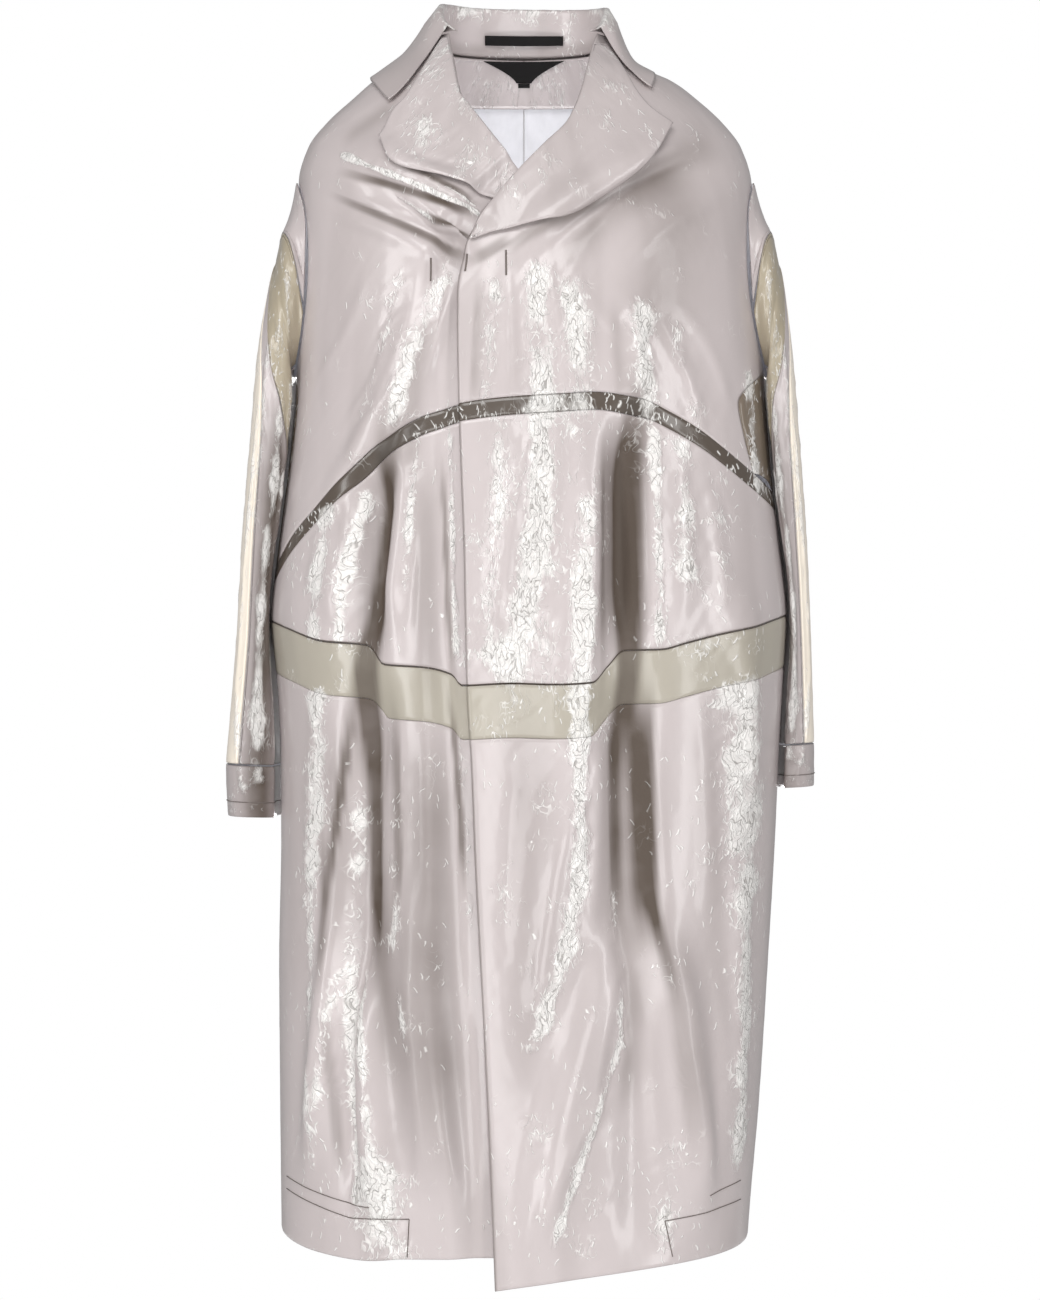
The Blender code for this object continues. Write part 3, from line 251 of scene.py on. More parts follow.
# Shaded runs with soft sides, given in the same way.
SOFT_SHADES = {
    "front": (
        (84, -118, 180, -66, 0, 14, 14, 0.36), (-172, -68, -122, -30, 0, 12, 12, 0.26),
        (112, -242, 160, -300, 0, 4, 15, 0.14), (90, -350, 80, -560, 0, 16, 14, 0.35),
        (126, -790, 156, -1040, 0, 5, 24, 0.35), (106, -860, 96, -990, 0, 8, 16, 0.3),
        (100, -600, 104, -900, 0, 22, 18, 0.35), (-152, -720, -122, -960, 0, 10, 14, 0.45),
        (-178, -620, -186, -860, 0, 10, 12, 0.3), (-94, -380, -90, -610, 0, 12, 16, 0.35),
        (-90, -620, -76, -1040, 0, 34, 24, 0.52), (-58, -900, -48, -1130, 0, 22, 14, 0.12),
        (150, -100, 120, -260, 0, 36, 40, 0.4), (176, -590, 184, -940, 0, 20, 10, 0.2),
        (10, -600, -2, -1000, 0, 26, 20, 0.24), (166, -88, 40, -182, 8, 6, 18, 0.35),
        (-84, -236, -112, -400, 6, 12, 8, 0.3), (-44, -210, -50, -330, 0, 3, 9, 0.3),
        (84, -230, 92, -330, 0, 6, 10, 0.25)),
    "back": (
        (-70, -300, -84, -640, 6, 14, 16, 0.6), (88, -280, 96, -640, -6, 16, 14, 0.6),
        (-64, -600, -52, -1120, -8, 16, 14, 0.55), (98, -600, 118, -1100, 6, 14, 18, 0.55),
        (-150, -70, -60, -230, 10, 8, 14, 0.4), (150, -70, 70, -250, -10, 8, 14, 0.4)),
}

# Vertical seams of the front, in millimetres.
#              height  across
OVER_EDGE = ((48, 72), (30, 66), (13, 62), (-20, 54), (-53, 40), (-76, 18), (-99, -4), (-126, -27),
             (-145, -41), (-165, -51), (-182, -58), (-220, -63), (-260, -63), (-320, -62), (-380, -60),
             (-458, -57), (-597, -54), (-663, -50), (-760, -46), (-933, -37), (-1040, -32), (-1170, -27))
UNDER_EDGE = ((48, -74), (16, -68), (-24, -60), (-37, -51), (-68, -28), (-99, -4), (-130, 18), (-170, 30),
              (-220, 34), (-1170, 66))
RIGHT_GUSSET = 0.45         # width of the right gusset as a share of the left one
#              height  across, the gusset's front seam
GUSSET_EDGE = ((-284, 236), (-320, 206), (-348, 211), (-375, 218), (-420, 233))
GUSSET_COLUMNS = 13

# Cross seams of the fronts, in millimetres.
#             across  height
ARCH_TOP = ((-245, -480), (-237, -466), (-223, -445), (-203, -423), (-180, -400), (-159, -381),
            (-137, -362), (-116, -348), (-95, -335), (-78, -329), (-61, -324), (-13, -318), (34, -315),
            (66, -313), (110, -319), (140, -332), (167, -347), (195, -367), (223, -388), (245, -404))
WAIST = ((-252, -526), (-227, -536), (-193, -548), (-156, -552), (-146, -560), (-136, -570), (-94, -573),
         (-69, -580), (-60, -590), (-11, -588), (27, -589), (62, -587), (80, -572), (100, -557),
         (130, -556), (153, -550), (199, -538), (226, -532), (258, -522))
ARCH_WIDTH = 17 * MM
BAND_WIDTH = 51 * MM
#             across  height, the hems of the over front and of the under front
OVER_HEM = ((-40, -1160), (-28, -1158), (66, -1145), (137, -1138), (203, -1132), (225, -1128))
UNDER_HEM = ((-245, -1120), (-222, -1127), (-198, -1131), (-152, -1134), (-111, -1130), (70, -1126))
BACK_WAIST = -524 * MM
BACK_HEM = -1128 * MM
NECK_FACING_HEM = -7 * MM

# The neck seam, in degrees of turn and millimetres of height.
NECK_SEAM = ((55, 44), (75, 47), (90, 47), (110, 43), (130, 37), (180, 36))

# Armhole: an upright oval on the coat's side.
ARMHOLE_MIDDLE = -191 * MM
ARMHOLE_HALF_HEIGHT = 93 * MM
ARMHOLE_HALF_DEPTH = 60 * MM

# Sleeve rings, in millimetres: the ring's outer and inner points seen from the front, the middle of its depth
# and its half depth.
# A row: outer x, z, inner x, z, middle, half depth.
SLEEVE_LEFT = ((224, -97, 236, -288, 0, 60), (249, -170, 231, -300, 6, 60), (263, -258, 222, -318, 12, 62),
               (271, -347, 216, -372, 20, 64), (279, -446, 220, -456, 28, 64),
               (284, -547, 227, -552, 36, 62), (287, -648, 231, -650, 40, 61),
               (287, -690, 232, -692, 41, 60))
SLEEVE_RIGHT = ((222, -97, 224, -288, 0, 60), (243, -170, 220, -300, 5, 60), (261, -258, 214, -318, 9, 62),
                (269, -347, 211, -374, 14, 63), (278, -446, 215, -456, 20, 64),
                (284, -552, 220, -558, 24, 62), (294, -668, 227, -670, 26, 61),
                (292, -719, 230, -720, 26, 59))
SLEEVE_GAP = 0.9            # half the clear space at a sleeve's seams, in degrees round the ring
SLEEVE_HEAD_GAP = 1.8       # what is added to it at the armhole
CAP_END = 236               # rear end of the cap, in degrees round the ring
INNER_SEAM = 28             # sleeve's inner front seam, degrees round the ring; 90 faces front
RING_LENGTH = 0.95          # length of a degree round the ring, in millimetres
SLEEVE_LENGTH = 0.6         # length of a sleeve, in metres
SLEEVE_CRUMPLE = 0.22       # how crumpled a sleeve is between its creases
CREASE_CRUMPLE = 0.75       # and on them
CREASE_FADE = 0.05          # share of the sleeve that a crease goes on past its ends
SLEEVE_SHADE_AT = 84        # where a sleeve's front is in shade, in degrees round the ring
SLEEVE_SHADE_HALF = 26      # half width of that shade, in degrees
SLEEVE_SHADES = {1: 0.5, -1: 0.9}   # its strength on the left sleeve and on the right one
HEAD_CALM = 0.12            # share of the sleeve in which its creases reach their height
SLEEVE_SEAM = 0.6           # how far its edges sink, as a share of a seam's depth
CUFF_COLUMNS = 109
CUFF_GAP = 0.004            # clear space above the cuff, as a share of the sleeve
CUFF_STITCHES = 0.955       # where the cuff's sewn line is
STITCH_HALF = 0.0009        # and its half width, as a share of the sleeve

# Seams along a sleeve, in degrees round the ring: where the khaki insert ends, where the outer strip starts
# and where the back sleeve starts. The sleeve runs from the armhole, 0, to the end of the cuff, 1.
# A row: share along, insert, strip, back.
SLEEVE_SEAMS = ((0, 76, 76, 76), (0.045, 108, 108, 108), (0.08, 141, 141, 141), (0.11, 168, 168, 168),
                (0.137, 189, 189, 194), (0.165, 157, 163, 194), (0.2, 142, 157, 194),
                (0.25, 120, 144, 194), (0.295, 102, 132, 194), (0.345, 86, 122, 194), (0.42, 68, 118, 194),
                (0.49, 48, 117, 194), (0.56, 33, 117, 194), (0.635, 28, 117, 194), (0.71, 28, 117, 194),
                (0.785, 28, 117, 194), (0.855, 28, 117, 194))
STRIP_ROW, FRONT_ROW, INSERT_ROWS = 4, 5, 13    # rows where strip and front start, and rows of the insert

# Creases of a sleeve: from and to, in degrees round the ring and share along it, half width and height in
# millimetres.
# A row: ring, along, ring, along, half width, height.
SLEEVE_CREASES = ((60, 0.2, 74, 0.62, 6, 1.8), (84, 0.3, 96, 0.8, 6, 1.6), (112, 0.24, 118, 0.56, 5, 1.7),
                  (128, 0.34, 140, 0.78, 5, 1.5), (100, 0.6, 84, 0.94, 6, 1.8),
                  (140, 0.74, 96, 0.96, 6, 2), (46, 0.52, 58, 0.9, 5, 1.5), (176, 0.26, 182, 0.8, 4, 1.2),
                  (214, 0.1, 232, 0.52, 6, 1.7), (250, 0.16, 262, 0.7, 7, 1.8),
                  (288, 0.22, 292, 0.8, 7, 1.8), (322, 0.3, 330, 0.84, 6, 1.6),
                  (352, 0.2, 368, 0.5, 6, 1.6), (230, 0.62, 262, 0.94, 6, 1.9))

# Collar, each half of it from the centre back to the front end, in millimetres: the neck seam's turn in
# degrees, the fold line at the top, a point halfway down the fall, and the free edge.
# A row: turn, fold x, y, z, middle x, y, z, edge x, y, z.
COLLAR_RIGHT = ((180, 0, 64, 84, 0, 94, 47, 0, 112, 4), (157, 30, 61, 84, 38, 90, 47, 46, 108, 3),
                (132, 59, 48, 84, 80, 70, 46, 98, 90, 3), (108, 76, 22, 82, 104, 36, 42, 128, 50, 7),
                (88, 80, -4, 75, 110, -2, 38, 138, 4, 8), (72, 79, -20, 64, 109, -38, 22, 138, -46, -5),
                (62, 74, -30, 53, 103, -70, 1, 129, -84, -27))
COLLAR_LEFT = ((180, 0, 64, 84, 0, 94, 47, 0, 112, 4), (157, 30, 61, 83, 37, 89, 47, 44, 106, 4),
               (132, 58, 48, 81, 73, 68, 46, 86, 86, 7), (108, 75, 22, 78, 94, 32, 44, 107, 44, 11),
               (88, 79, -4, 73, 95, -4, 43, 107, 2, 15), (72, 77, -20, 62, 96, -36, 30, 116, -42, 5),
               (62, 74, -30, 51, 97, -64, 10, 122, -78, -14))

# Lapels' outer edges from the collar to the break, in millimetres.
LAPEL_RIGHT = ((-78, 36), (-94, 3), (-111, -30), (-124, -46), (-133, -71), (-117, -94), (-70, -112),
               (-27, -127), (8, -137))
LAPEL_LEFT = ((78, 30), (93, 2), (106, -24), (118, -40), (138, -57), (119, -83), (75, -119),
              (33, -145), (3, -156), (-32, -163), (-46, -168))
LAPEL_TIP = 4               # row of a lapel's table that is its tip, a corner

# Rows of the collar's grid from the neck seam out: the stand, the bend over the fold and the fall.
STAND_ROWS = 14
BEND_ROWS = 5
FALL_ROWS = 22
FALL_START = 0.2            # share of the fall that the bend takes the place of
BEND_REACH = 4.5 * MM       # how far the bend stands out from the fold
BEND_RISE = 1.2 * MM        # and how far above it that point is
BEND_ROUND = 0.8 * MM       # how far the bend rises between them
FALL_STAND = 8 * MM         # how far out the fall starts
COLLAR_ENDS = 7             # columns from a collar's end in which its bend narrows to a fifth
COLLAR_CREASE = 0.45 * MM   # height of the collar's relief
COLLAR_FINE = 1.3           # how much finer than elsewhere that relief is
COLLAR_CRUMPLE = (0.15, 0.4)    # how crumpled the collar is, and how much more at its fold
FOLD_HALF = 14 * MM         # half width of that run
COLLAR_CALM = 6 * MM        # way in from the collar's edge in which its relief reaches its height

# Sewn lines on the coat's front, in millimetres: the name of the piece they are sewn on, then the points.
SEWN_LINES = (
    ("skirt_right", (-229, -1066), (-160, -1083), (-145, -1083)),
    ("skirt_right", (-229, -1078), (-166, -1095), (-108, -1092)),
    ("skirt_right", (-108, -1092), (-110, -1128)),
    ("skirt_left", (172, -1075), (207, -1067)),
    ("skirt_left", (134, -1096), (208, -1086)),
    ("skirt_left", (134, -1096), (140, -1130)),
)
# Bound slits near the front edge: top and bottom, in millimetres.
SLITS = (("yoke_right", (-88, -186), (-88, -208)),
         ("yoke_left", (-54, -182), (-56, -199)),
         ("yoke_left", (-17, -179), (-17, -203)))


# ---------------------------------------------------------------------------------------------------------
# Form


def rows(table):
    """A table as an array in metres, sorted by its first column."""
    return np.array(sorted(table), dtype=float) * MM


def smooth(at, knots, values):
    """Smooth monotone curve through the knots, held level beyond its ends."""
    at = np.clip(at, knots[0], knots[-1])
    steps = np.diff(knots)
    rises = np.diff(values) / steps
    slopes = np.concatenate(([rises[0]], np.zeros(len(knots) - 2), [rises[-1]]))
    same_way = rises[:-1] * rises[1:] > 0
    blended = 2 * rises[:-1] * rises[1:] / np.where(same_way, rises[:-1] + rises[1:], 1)
    slopes[1:-1] = np.where(same_way, blended, 0)
    i = np.clip(np.searchsorted(knots, at, side="right") - 1, 0, len(steps) - 1)
    t = (at - knots[i]) / steps[i]
    start = values[i] * (1 + 2 * t) * (1 - t) ** 2 + values[i + 1] * t * t * (3 - 2 * t)
    return start + steps[i] * (slopes[i] * t * (1 - t) ** 2 + slopes[i + 1] * t * t * (t - 1))


def ease(t):
    """Soft step from 0 to 1: three t squared less two t cubed."""
    t = np.clip(t, 0, 1)
    return t * t * (3 - 2 * t)


SECTION_ROWS = rows(SECTIONS)


def section_sizes(height):
    """Half widths to the right and left, and depths in front and behind, of the plain section at a height."""
    heights, *sizes = SECTION_ROWS.T
    return [smooth(height, heights, size) for size in sizes]


def plain_radius(turn, height):
    """Distance from the coat's axis to its plain section: a superellipse of side width and front depth."""
    right, left, front, back = section_sizes(height)
    side = np.where(np.sin(turn) > 0, left, right)
    facing = np.cos(turn) > 0
    depth = np.where(facing, front, back)
    power = np.where(facing, FRONT_SQUARE, BACK_SQUARE)
    total = (np.abs(np.sin(turn)) / side) ** power + (np.abs(np.cos(turn)) / depth) ** power
    return total ** (-1 / power)


def turn_at(across, height, face="front"):
    """Turn of the point of the plain surface that lies at a distance across the front or back."""
    right, left, front, back = section_sizes(height)
    side = np.where(np.asarray(across) > 0, left, right)
    depth, power = (front, FRONT_SQUARE) if face == "front" else (back, BACK_SQUARE)
    share = np.clip(np.abs(across) / side, 0, 0.9999)
    deep = depth * (1 - share ** power) ** (1 / power)
    return np.arctan2(across, deep if face == "front" else -deep)


def line_places(turn, height, face, x0, z0, x1, z1):
    """Share along a line on the coat laid flat, distance to its side, and its length."""
    ends = [(float(turn_at(x * MM, z * MM, face)), z * MM) for x, z in ((x0, z0), (x1, z1))]
    middle = math.pi if face == "back" else 0.0
    a = np.mod(turn - middle + math.pi, 2 * math.pi) - math.pi
    a0, a1 = [math.remainder(end - middle, 2 * math.pi) * MEAN_RADIUS for end, _ in ends]
    run, drop = a1 - a0, ends[1][1] - ends[0][1]
    length = math.hypot(run, drop)
    along = ((a * MEAN_RADIUS - a0) * run + (height - ends[0][1]) * drop) / length ** 2
    off = ((a * MEAN_RADIUS - a0) * drop - (height - ends[0][1]) * run) / length
    return along, off, length


def table_lines(table):
    """The rows of a table by face, each after its face."""
    return ((face, *row) for face, given in table.items() for row in given)


def fold_heights(table, turn, height, power=2):
    """Sum of a table's folds: each is a bell across its bowed line, eased in and out at the line's ends.

    A higher power makes the bell flatter on top and its sides crisper.
    """
    total = np.zeros(np.broadcast(turn, height).shape)
    for face, x0, z0, x1, z1, bow, side_a, side_b, rise in table_lines(table):
        along, off, _ = line_places(turn, height, face, x0, z0, x1, z1)
        off = off - bow * MM * 4 * along * (1 - along)
        width = np.where(off > 0, side_a, side_b) * MM
        fade = ease((along + FOLD_REACH) / FOLD_FADE) * ease((1 + FOLD_REACH - along) / FOLD_FADE)
        total = total + rise * MM * fade * np.exp(-np.abs(off / width) ** power)
    return total


def crumple_strength(turn, height):
    """How crumpled the film is, 0 to 1: the largest of the bands, each a bell across its own line."""
    total = np.zeros(np.broadcast(turn, height).shape)
    for face, x0, z0, x1, z1, half, strength in table_lines(CRUMPLES):
        along, off, length = line_places(turn, height, face, x0, z0, x1, z1)
        beyond = np.maximum(np.maximum(-along, along - 1), 0) * length
        total = np.maximum(total, strength * np.exp(-(off ** 2 + beyond ** 2) / (half * MM) ** 2))
    return total


def coat_point(turn, height):
    """A point of the folded garment surface: the plain radius and the folds, at a turn and height."""
    turn, height = np.broadcast_arrays(turn, height)
    radius = plain_radius(turn, height) + fold_heights(FOLDS, turn, height)
    return np.stack((radius * np.sin(turn), -radius * np.cos(turn), height), axis=-1)


def lifted_point(turn, height, lift):
    """A point of the surface moved out along its normal by lift; a negative lift moves it in."""
    step = 0.5 * MM
    angle = step / MEAN_RADIUS
    point = coat_point(turn, height)
    around = coat_point(turn + angle, height) - coat_point(turn - angle, height)
    upward = coat_point(turn, height + step) - coat_point(turn, height - step)
    normal = np.cross(around, upward)
    normal = normal / np.linalg.norm(normal, axis=-1, keepdims=True)
    return point + normal * np.asarray(lift)[..., None]


def edge_turn(table, height):
    """Turn of a vertical seam that is given by its distance across the front."""
    heights, across = rows(table).T
    return turn_at(smooth(height, heights, across), height)


def seam_height(table, turn, height):
    """Height of a cross seam at a turn; the height given is a first guess."""
    knots, heights = rows(table).T
    for _ in range(SEAM_ROUNDS):
        across = plain_radius(turn, height) * np.sin(turn)
        height = smooth(across, knots, heights)
    return height


def side_seam_turn(height, side, face):
    """Turn of a front's or back's side edge: shoulder seam, armhole edge and side seam from top to bottom."""
    share = (height - ARMHOLE_MIDDLE) / ARMHOLE_HALF_HEIGHT
    half = ARMHOLE_HALF_DEPTH * np.sqrt(np.clip(1 - share * share, 0, 1))
    offset = np.arctan2(half + SEAM_GAP / 2, plain_radius(SIDE_TURN * side, height))
    return side * (SIDE_TURN - offset if face == "front" else SIDE_TURN + offset)


def front_side_turn(height, side):
    """Side edge of a yoke: the armhole edge and, below it, the gusset's front seam."""
    edge = side_seam_turn(height, side, "front")
    gusset = side * np.abs(edge_turn(GUSSET_EDGE, height))
    if side < 0:
        gusset = -(SIDE_TURN - (SIDE_TURN - np.abs(gusset)) * RIGHT_GUSSET)
    below = height < GUSSET_EDGE[0][0] * MM
    return np.where(below, gusset - side * SEAM_GAP / MEAN_RADIUS, edge)


def centre_back_turn(height, side):
    """Turn of a back's edge along the centre back seam."""
    return side * (math.pi - SEAM_GAP / 2 / plain_radius(math.pi, height))


def shared_out(edges, counts):
    """Columns between edges: one value of each edge for each line, and the columns from each to the next."""
    starts = np.concatenate(([0], np.cumsum(counts)))
    column = np.arange(starts[-1] + 1)
    return np.stack([np.interp(column, starts, line) for line in np.transpose(edges)], axis=-1)


def seam_spread(count, length):
    """Shares from 0 to 1 in even steps, with two more close to each end, where a seam turns the cloth in."""
    close = np.array(SEAM_LINES) * MM / length
    return np.concatenate(([0], close, np.linspace(0, 1, count + 1)[1:-1], 1 - close[::-1], [1]))


def stack_grid(edges, counts, top, bottom, lines, length, crowding=1.0):
    """Turns and heights of a piece's grid between its side edges (turns at a height) and cross seams."""
    starts = np.concatenate(([0], np.cumsum(counts)))
    t = seam_spread(lines, length)[None, :] ** crowding

    def turns(height):
        """Turns of a grid of heights, from the turn of each edge at its own height."""
        return shared_out([edge(height[start]) for edge, start in zip(edges, starts)], counts)

    def settled(seam, guess):
        """Heights of a cross seam at the columns, found round by round, as the turns depend on them."""
        height = np.full((starts[-1] + 1, 1), guess)
        for _ in range(ROUNDS):
            height = seam(turns(height), height)
        return height

    height = settled(top, -100 * MM) * (1 - t) + settled(bottom, -500 * MM) * t
    return turns(height), height


def halved(values):
    """A grid's values with one more line midway between each two."""
    made = np.repeat(values, 2, axis=1)[:, :-1]
    made[:, 1::2] = (values[:, 1:] + values[:, :-1]) / 2
    return made


def lap_share(turn, height):
    """How far a point of the right front has passed under the over front, from 0 to 1."""
    past_edge = (turn - edge_turn(OVER_EDGE, height)) * MEAN_RADIUS
    return ease((past_edge + LAP_EARLY) / LAP_RUN + 1)


def level(height):
    """A cross seam at one height."""
    return lambda turn, guess: np.full_like(guess, height)


def shifted(seam, drop):
    """A cross seam moved down by drop."""
    return lambda turn, guess: seam(turn, guess) - drop


def neck_seam(turn, guess):
    """Height of the neck seam at a turn."""
    away = 180 - np.abs(np.degrees(math.pi - np.mod(turn, 2 * math.pi)))
    turns, heights = np.array(NECK_SEAM, dtype=float).T
    return smooth(away, turns, heights * MM)


def grid_normals(points):
    """Normals of a grid of points: the cross product of its two directions of travel."""
    normal = np.cross(np.gradient(points, axis=0), np.gradient(points, axis=1))
    return normal / np.maximum(np.linalg.norm(normal, axis=-1, keepdims=True), 1e-12)


def run_along(points, axis=0):
    """Length from the start of a path, or of a grid's lines along an axis, to each of its points."""
    steps = np.linalg.norm(np.diff(points, axis=axis), axis=-1)
    return np.concatenate((np.zeros_like(np.take(steps, [0], axis)), np.cumsum(steps, axis)), axis)


def edge_distances(points, closed=False):
    """Distance of each grid point from the piece's nearest edge, measured along the grid's lines."""
    least = np.full(points.shape[:2], np.inf)
    for axis in ((1,) if closed else (0, 1)):
        run = run_along(points, axis)
        least = np.minimum(least, np.minimum(run, np.take(run, [-1], axis) - run))
    return least


def seam_shade(points, strengths):
    """Darkness along a piece's edges, each with a strength: first and last column, first and last line."""
    shade = np.zeros(points.shape[:2])
    for axis, pair in ((0, strengths[:2]), (1, strengths[2:])):
        run = run_along(points, axis)
        for strength, distance in zip(pair, (run, np.take(run, [-1], axis) - run)):
            shade = np.maximum(shade, strength * (1 - ease(distance / SEAM_SHADE)))
    return shade


def crinkle_relief(u, v):
    """Small crumpled relief, about -1 to 1: ridged waves in seeded directions over slowly warped lengths."""
    seeded = np.random.default_rng(11)
    warp_u = u + 6 * MM * np.sin(v / (21 * MM) + 1.3) + 4 * MM * np.sin(u / (17 * MM) + v / (29 * MM))
    warp_v = v + 6 * MM * np.sin(u / (19 * MM) + 0.4) + 4 * MM * np.sin(v / (23 * MM) - u / (31 * MM))
    total = np.zeros_like(u)
    for wave in RELIEF_WAVES:
        heading = seeded.uniform(-0.9, 0.9)
        phase = seeded.uniform(0, 2 * math.pi)
        across = warp_u * math.cos(heading) + warp_v * math.sin(heading)
        total += 1 - 2 * np.abs(np.sin(across * math.pi / (wave * MM) + phase))
    return total / 3


# ---------------------------------------------------------------------------------------------------------
# Finishes


def fill(tree, node, inputs):
    """A node with its inputs linked or set: a map of a socket's name or number to a socket or a value."""
    for key, value in dict(inputs).items():
        socket = node.inputs[key]
        if isinstance(value, bpy.types.NodeSocket):
            tree.links.new(value, socket)
        else:
            socket.default_value = value
    return node


def place(tree, kind, inputs=(), **settings):
    """A new shader node of a kind, with its settings and its inputs."""
    made = tree.nodes.new("ShaderNode" + kind)
    for name, value in settings.items():
        setattr(made, name, value)
    return fill(tree, made, inputs)


def math_node(tree, operation, *values):
    """A Math node's result."""
    return place(tree, "Math", enumerate(values), operation=operation).outputs[0]


def vector_node(tree, operation, *values):
    """A Vector Math node's result."""
    return place(tree, "VectorMath", enumerate(values), operation=operation).outputs[0]


def noise(tree, vector, scale, detail):
    """The outputs of a flat noise: Fac is its value, Color holds three."""
    return place(tree, "TexNoise", {"Vector": vector, "Scale": scale, "Detail": detail},
                 noise_dimensions="2D").outputs


def ramp(tree, value, low, high):
    """A value taken from low to high as a soft step from 0 to 1; a high below the low turns it round."""
    inputs = {"Value": value, "From Min": low, "From Max": high, "To Min": 0.0, "To Max": 1.0}
    return place(tree, "MapRange", inputs, interpolation_type="SMOOTHSTEP").outputs[0]


def mixed(tree, factor, first, second):
    """Two colours mixed by a factor."""
    return place(tree, "Mix", {0: factor, 6: first, 7: second}, data_type="RGBA").outputs[2]


def mask(tree, name):
    """A value that the piece's points carry."""
    return place(tree, "Attribute", attribute_name=name).outputs["Fac"]


def bumped(tree, height, strength, distance):
    """A normal that a height turns."""
    return place(tree, "Bump", {"Height": height, "Strength": strength, "Distance": distance}).outputs[0]


def new_group(name, inputs, outputs):
    """An empty node group with inputs (name, kind, default) and values put out, its sockets and its end."""
    tree = bpy.data.node_groups.new(name, "ShaderNodeTree")
    for label, kind, default in inputs:
        socket = tree.interface.new_socket(label, in_out="INPUT", socket_type=kind)
        if default is not None:
            socket.default_value = default
    for label in outputs:
        tree.interface.new_socket(label, in_out="OUTPUT", socket_type="NodeSocketFloat")
    return tree, tree.nodes.new("NodeGroupInput").outputs, tree.nodes.new("NodeGroupOutput")


def dashes(tree, vector, cell, half_length, half_width, share):
    """Mask of short straight creases: one in each Voronoi cell, turned by the cell's own random value.

    cell is the cells' size in metres; the dash's half length and half width are shares of it. share, a
    value or a socket, is how many of the cells have one.
    """
    maths = functools.partial(math_node, tree)
    grown = vector_node(tree, "MULTIPLY", vector, (1 / cell, 1 / cell, 1 / cell))
    cells = place(tree, "TexVoronoi", {"Vector": grown, "Scale": 1.0}, voronoi_dimensions="2D",
                  feature="F1").outputs
    local = vector_node(tree, "SUBTRACT", grown, cells["Position"])
    random = place(tree, "SeparateColor", {0: cells["Color"]}).outputs
    angle = maths("MULTIPLY_ADD", random[0], 1.3, 0.92)
    turned = place(tree, "VectorRotate", {"Vector": local, "Angle": angle}, rotation_type="Z_AXIS")
    parts = place(tree, "SeparateXYZ", {0: turned.outputs[0]}).outputs
    along = ramp(tree, maths("ABSOLUTE", parts[0]), half_length, half_length * 0.5)
    bent = maths("MULTIPLY_ADD", maths("POWER", parts[0], 2.0), 0.35, parts[1])
    across = ramp(tree, maths("ABSOLUTE", bent), half_width, 0.0)
    there = ramp(tree, maths("SUBTRACT", share, random[1]), 0.0, 0.03)
    return maths("MULTIPLY", maths("MULTIPLY", along, across), there)


def curls(tree, vector, scale, half_width):
    """Mask of curling lines: where a smooth noise passes its middle value."""
    off = math_node(tree, "SUBTRACT", noise(tree, vector, scale, 1.0)["Fac"], 0.5)
    return ramp(tree, math_node(tree, "ABSOLUTE", off), half_width, 0.0)


def crinkle_group():
    """Crinkles of a stiff clear film: scattered short dashes, and a mass of curls where it is crumpled.

    It puts out their height; their glints, painted highlights partly standing for the film's whitened
    creases; a painted white glare veil over a dense mass; faint upright streaks of painted shade; and
    painted shade in the grooves.
    """
    if "Film crinkles" in bpy.data.node_groups:
        return bpy.data.node_groups["Film crinkles"]
    tree, given, result = new_group(
        "Film crinkles", (("Cloth", "NodeSocketVector", None), ("Crumple", "NodeSocketFloat", 0.0),
                          ("Scatter", "NodeSocketFloat", 0.25)),
        ("Height", "Glint", "Glare veil", "Shade streak", "Groove shade"))
    cloth, crumple, scatter = given["Cloth"], given["Crumple"], given["Scatter"]
    maths, vectors = functools.partial(math_node, tree), functools.partial(vector_node, tree)
    swing = vectors("SUBTRACT", noise(tree, cloth, 46.0, 2.0)["Color"], (0.5, 0.5, 0.5))
    bent = vectors("MULTIPLY_ADD", swing, (0.013, 0.013, 0.0), cloth)
    patches = maths("SUBTRACT", noise(tree, cloth, 26.0, 2.0)["Fac"], 0.5)
    swollen = maths("MULTIPLY_ADD", patches, 1.6, crumple)
    dense, loose = ramp(tree, swollen, 0.52, 0.86), ramp(tree, swollen, 0.20, 0.66)
    strewn = maths("MULTIPLY", scatter, ramp(tree, noise(tree, cloth, 8.0, 1.0)["Fac"], 0.40, 0.66))
    long_share = maths("MULTIPLY_ADD", loose, 0.45, strewn)
    short_share = maths("MULTIPLY_ADD", loose, 0.75, maths("MULTIPLY", strewn, 0.5))
    long_ones = dashes(tree, cloth, 0.012, 0.36, 0.080, long_share)
    short_ones = dashes(tree, bent, 0.0075, 0.44, 0.15, short_share)
    tall = vectors("MULTIPLY", bent, (1.5, 0.8, 1.0))
    wide_curls = maths("MULTIPLY", curls(tree, tall, 78.0, 0.040), loose)
    fine_curls = maths("MULTIPLY", curls(tree, tall, 135.0, 0.060), dense)
    beside = vectors("ADD", tall, (3.1, 1.7, 0.0))
    groove = maths("MULTIPLY", curls(tree, beside, 88.0, 0.038), dense)
    glint = functools.reduce(functools.partial(maths, "MAXIMUM"),
                             (long_ones, short_ones, wide_curls, fine_curls))
    pucker = maths("MULTIPLY", noise(tree, tall, 120.0, 2.0)["Fac"], maths("MULTIPLY_ADD", loose, 0.9, 0.05))
    height = maths("MULTIPLY_ADD", groove, -0.5, maths("MULTIPLY_ADD", glint, 0.7, pucker))
    shade_streak = noise(tree, vectors("MULTIPLY", cloth, (15.0, 2.6, 1.0)), 1.0, 2.0)["Fac"]
    # The glints, the veil, the streaks and the grooves go into the base colour: painted highlights and shade.
    fill(tree, result, {"Height": height, "Glint": glint, "Glare veil": maths("MULTIPLY", dense, 0.72),
                        "Shade streak": ramp(tree, shade_streak, 0.44, 0.68), "Groove shade": groove})
    return tree


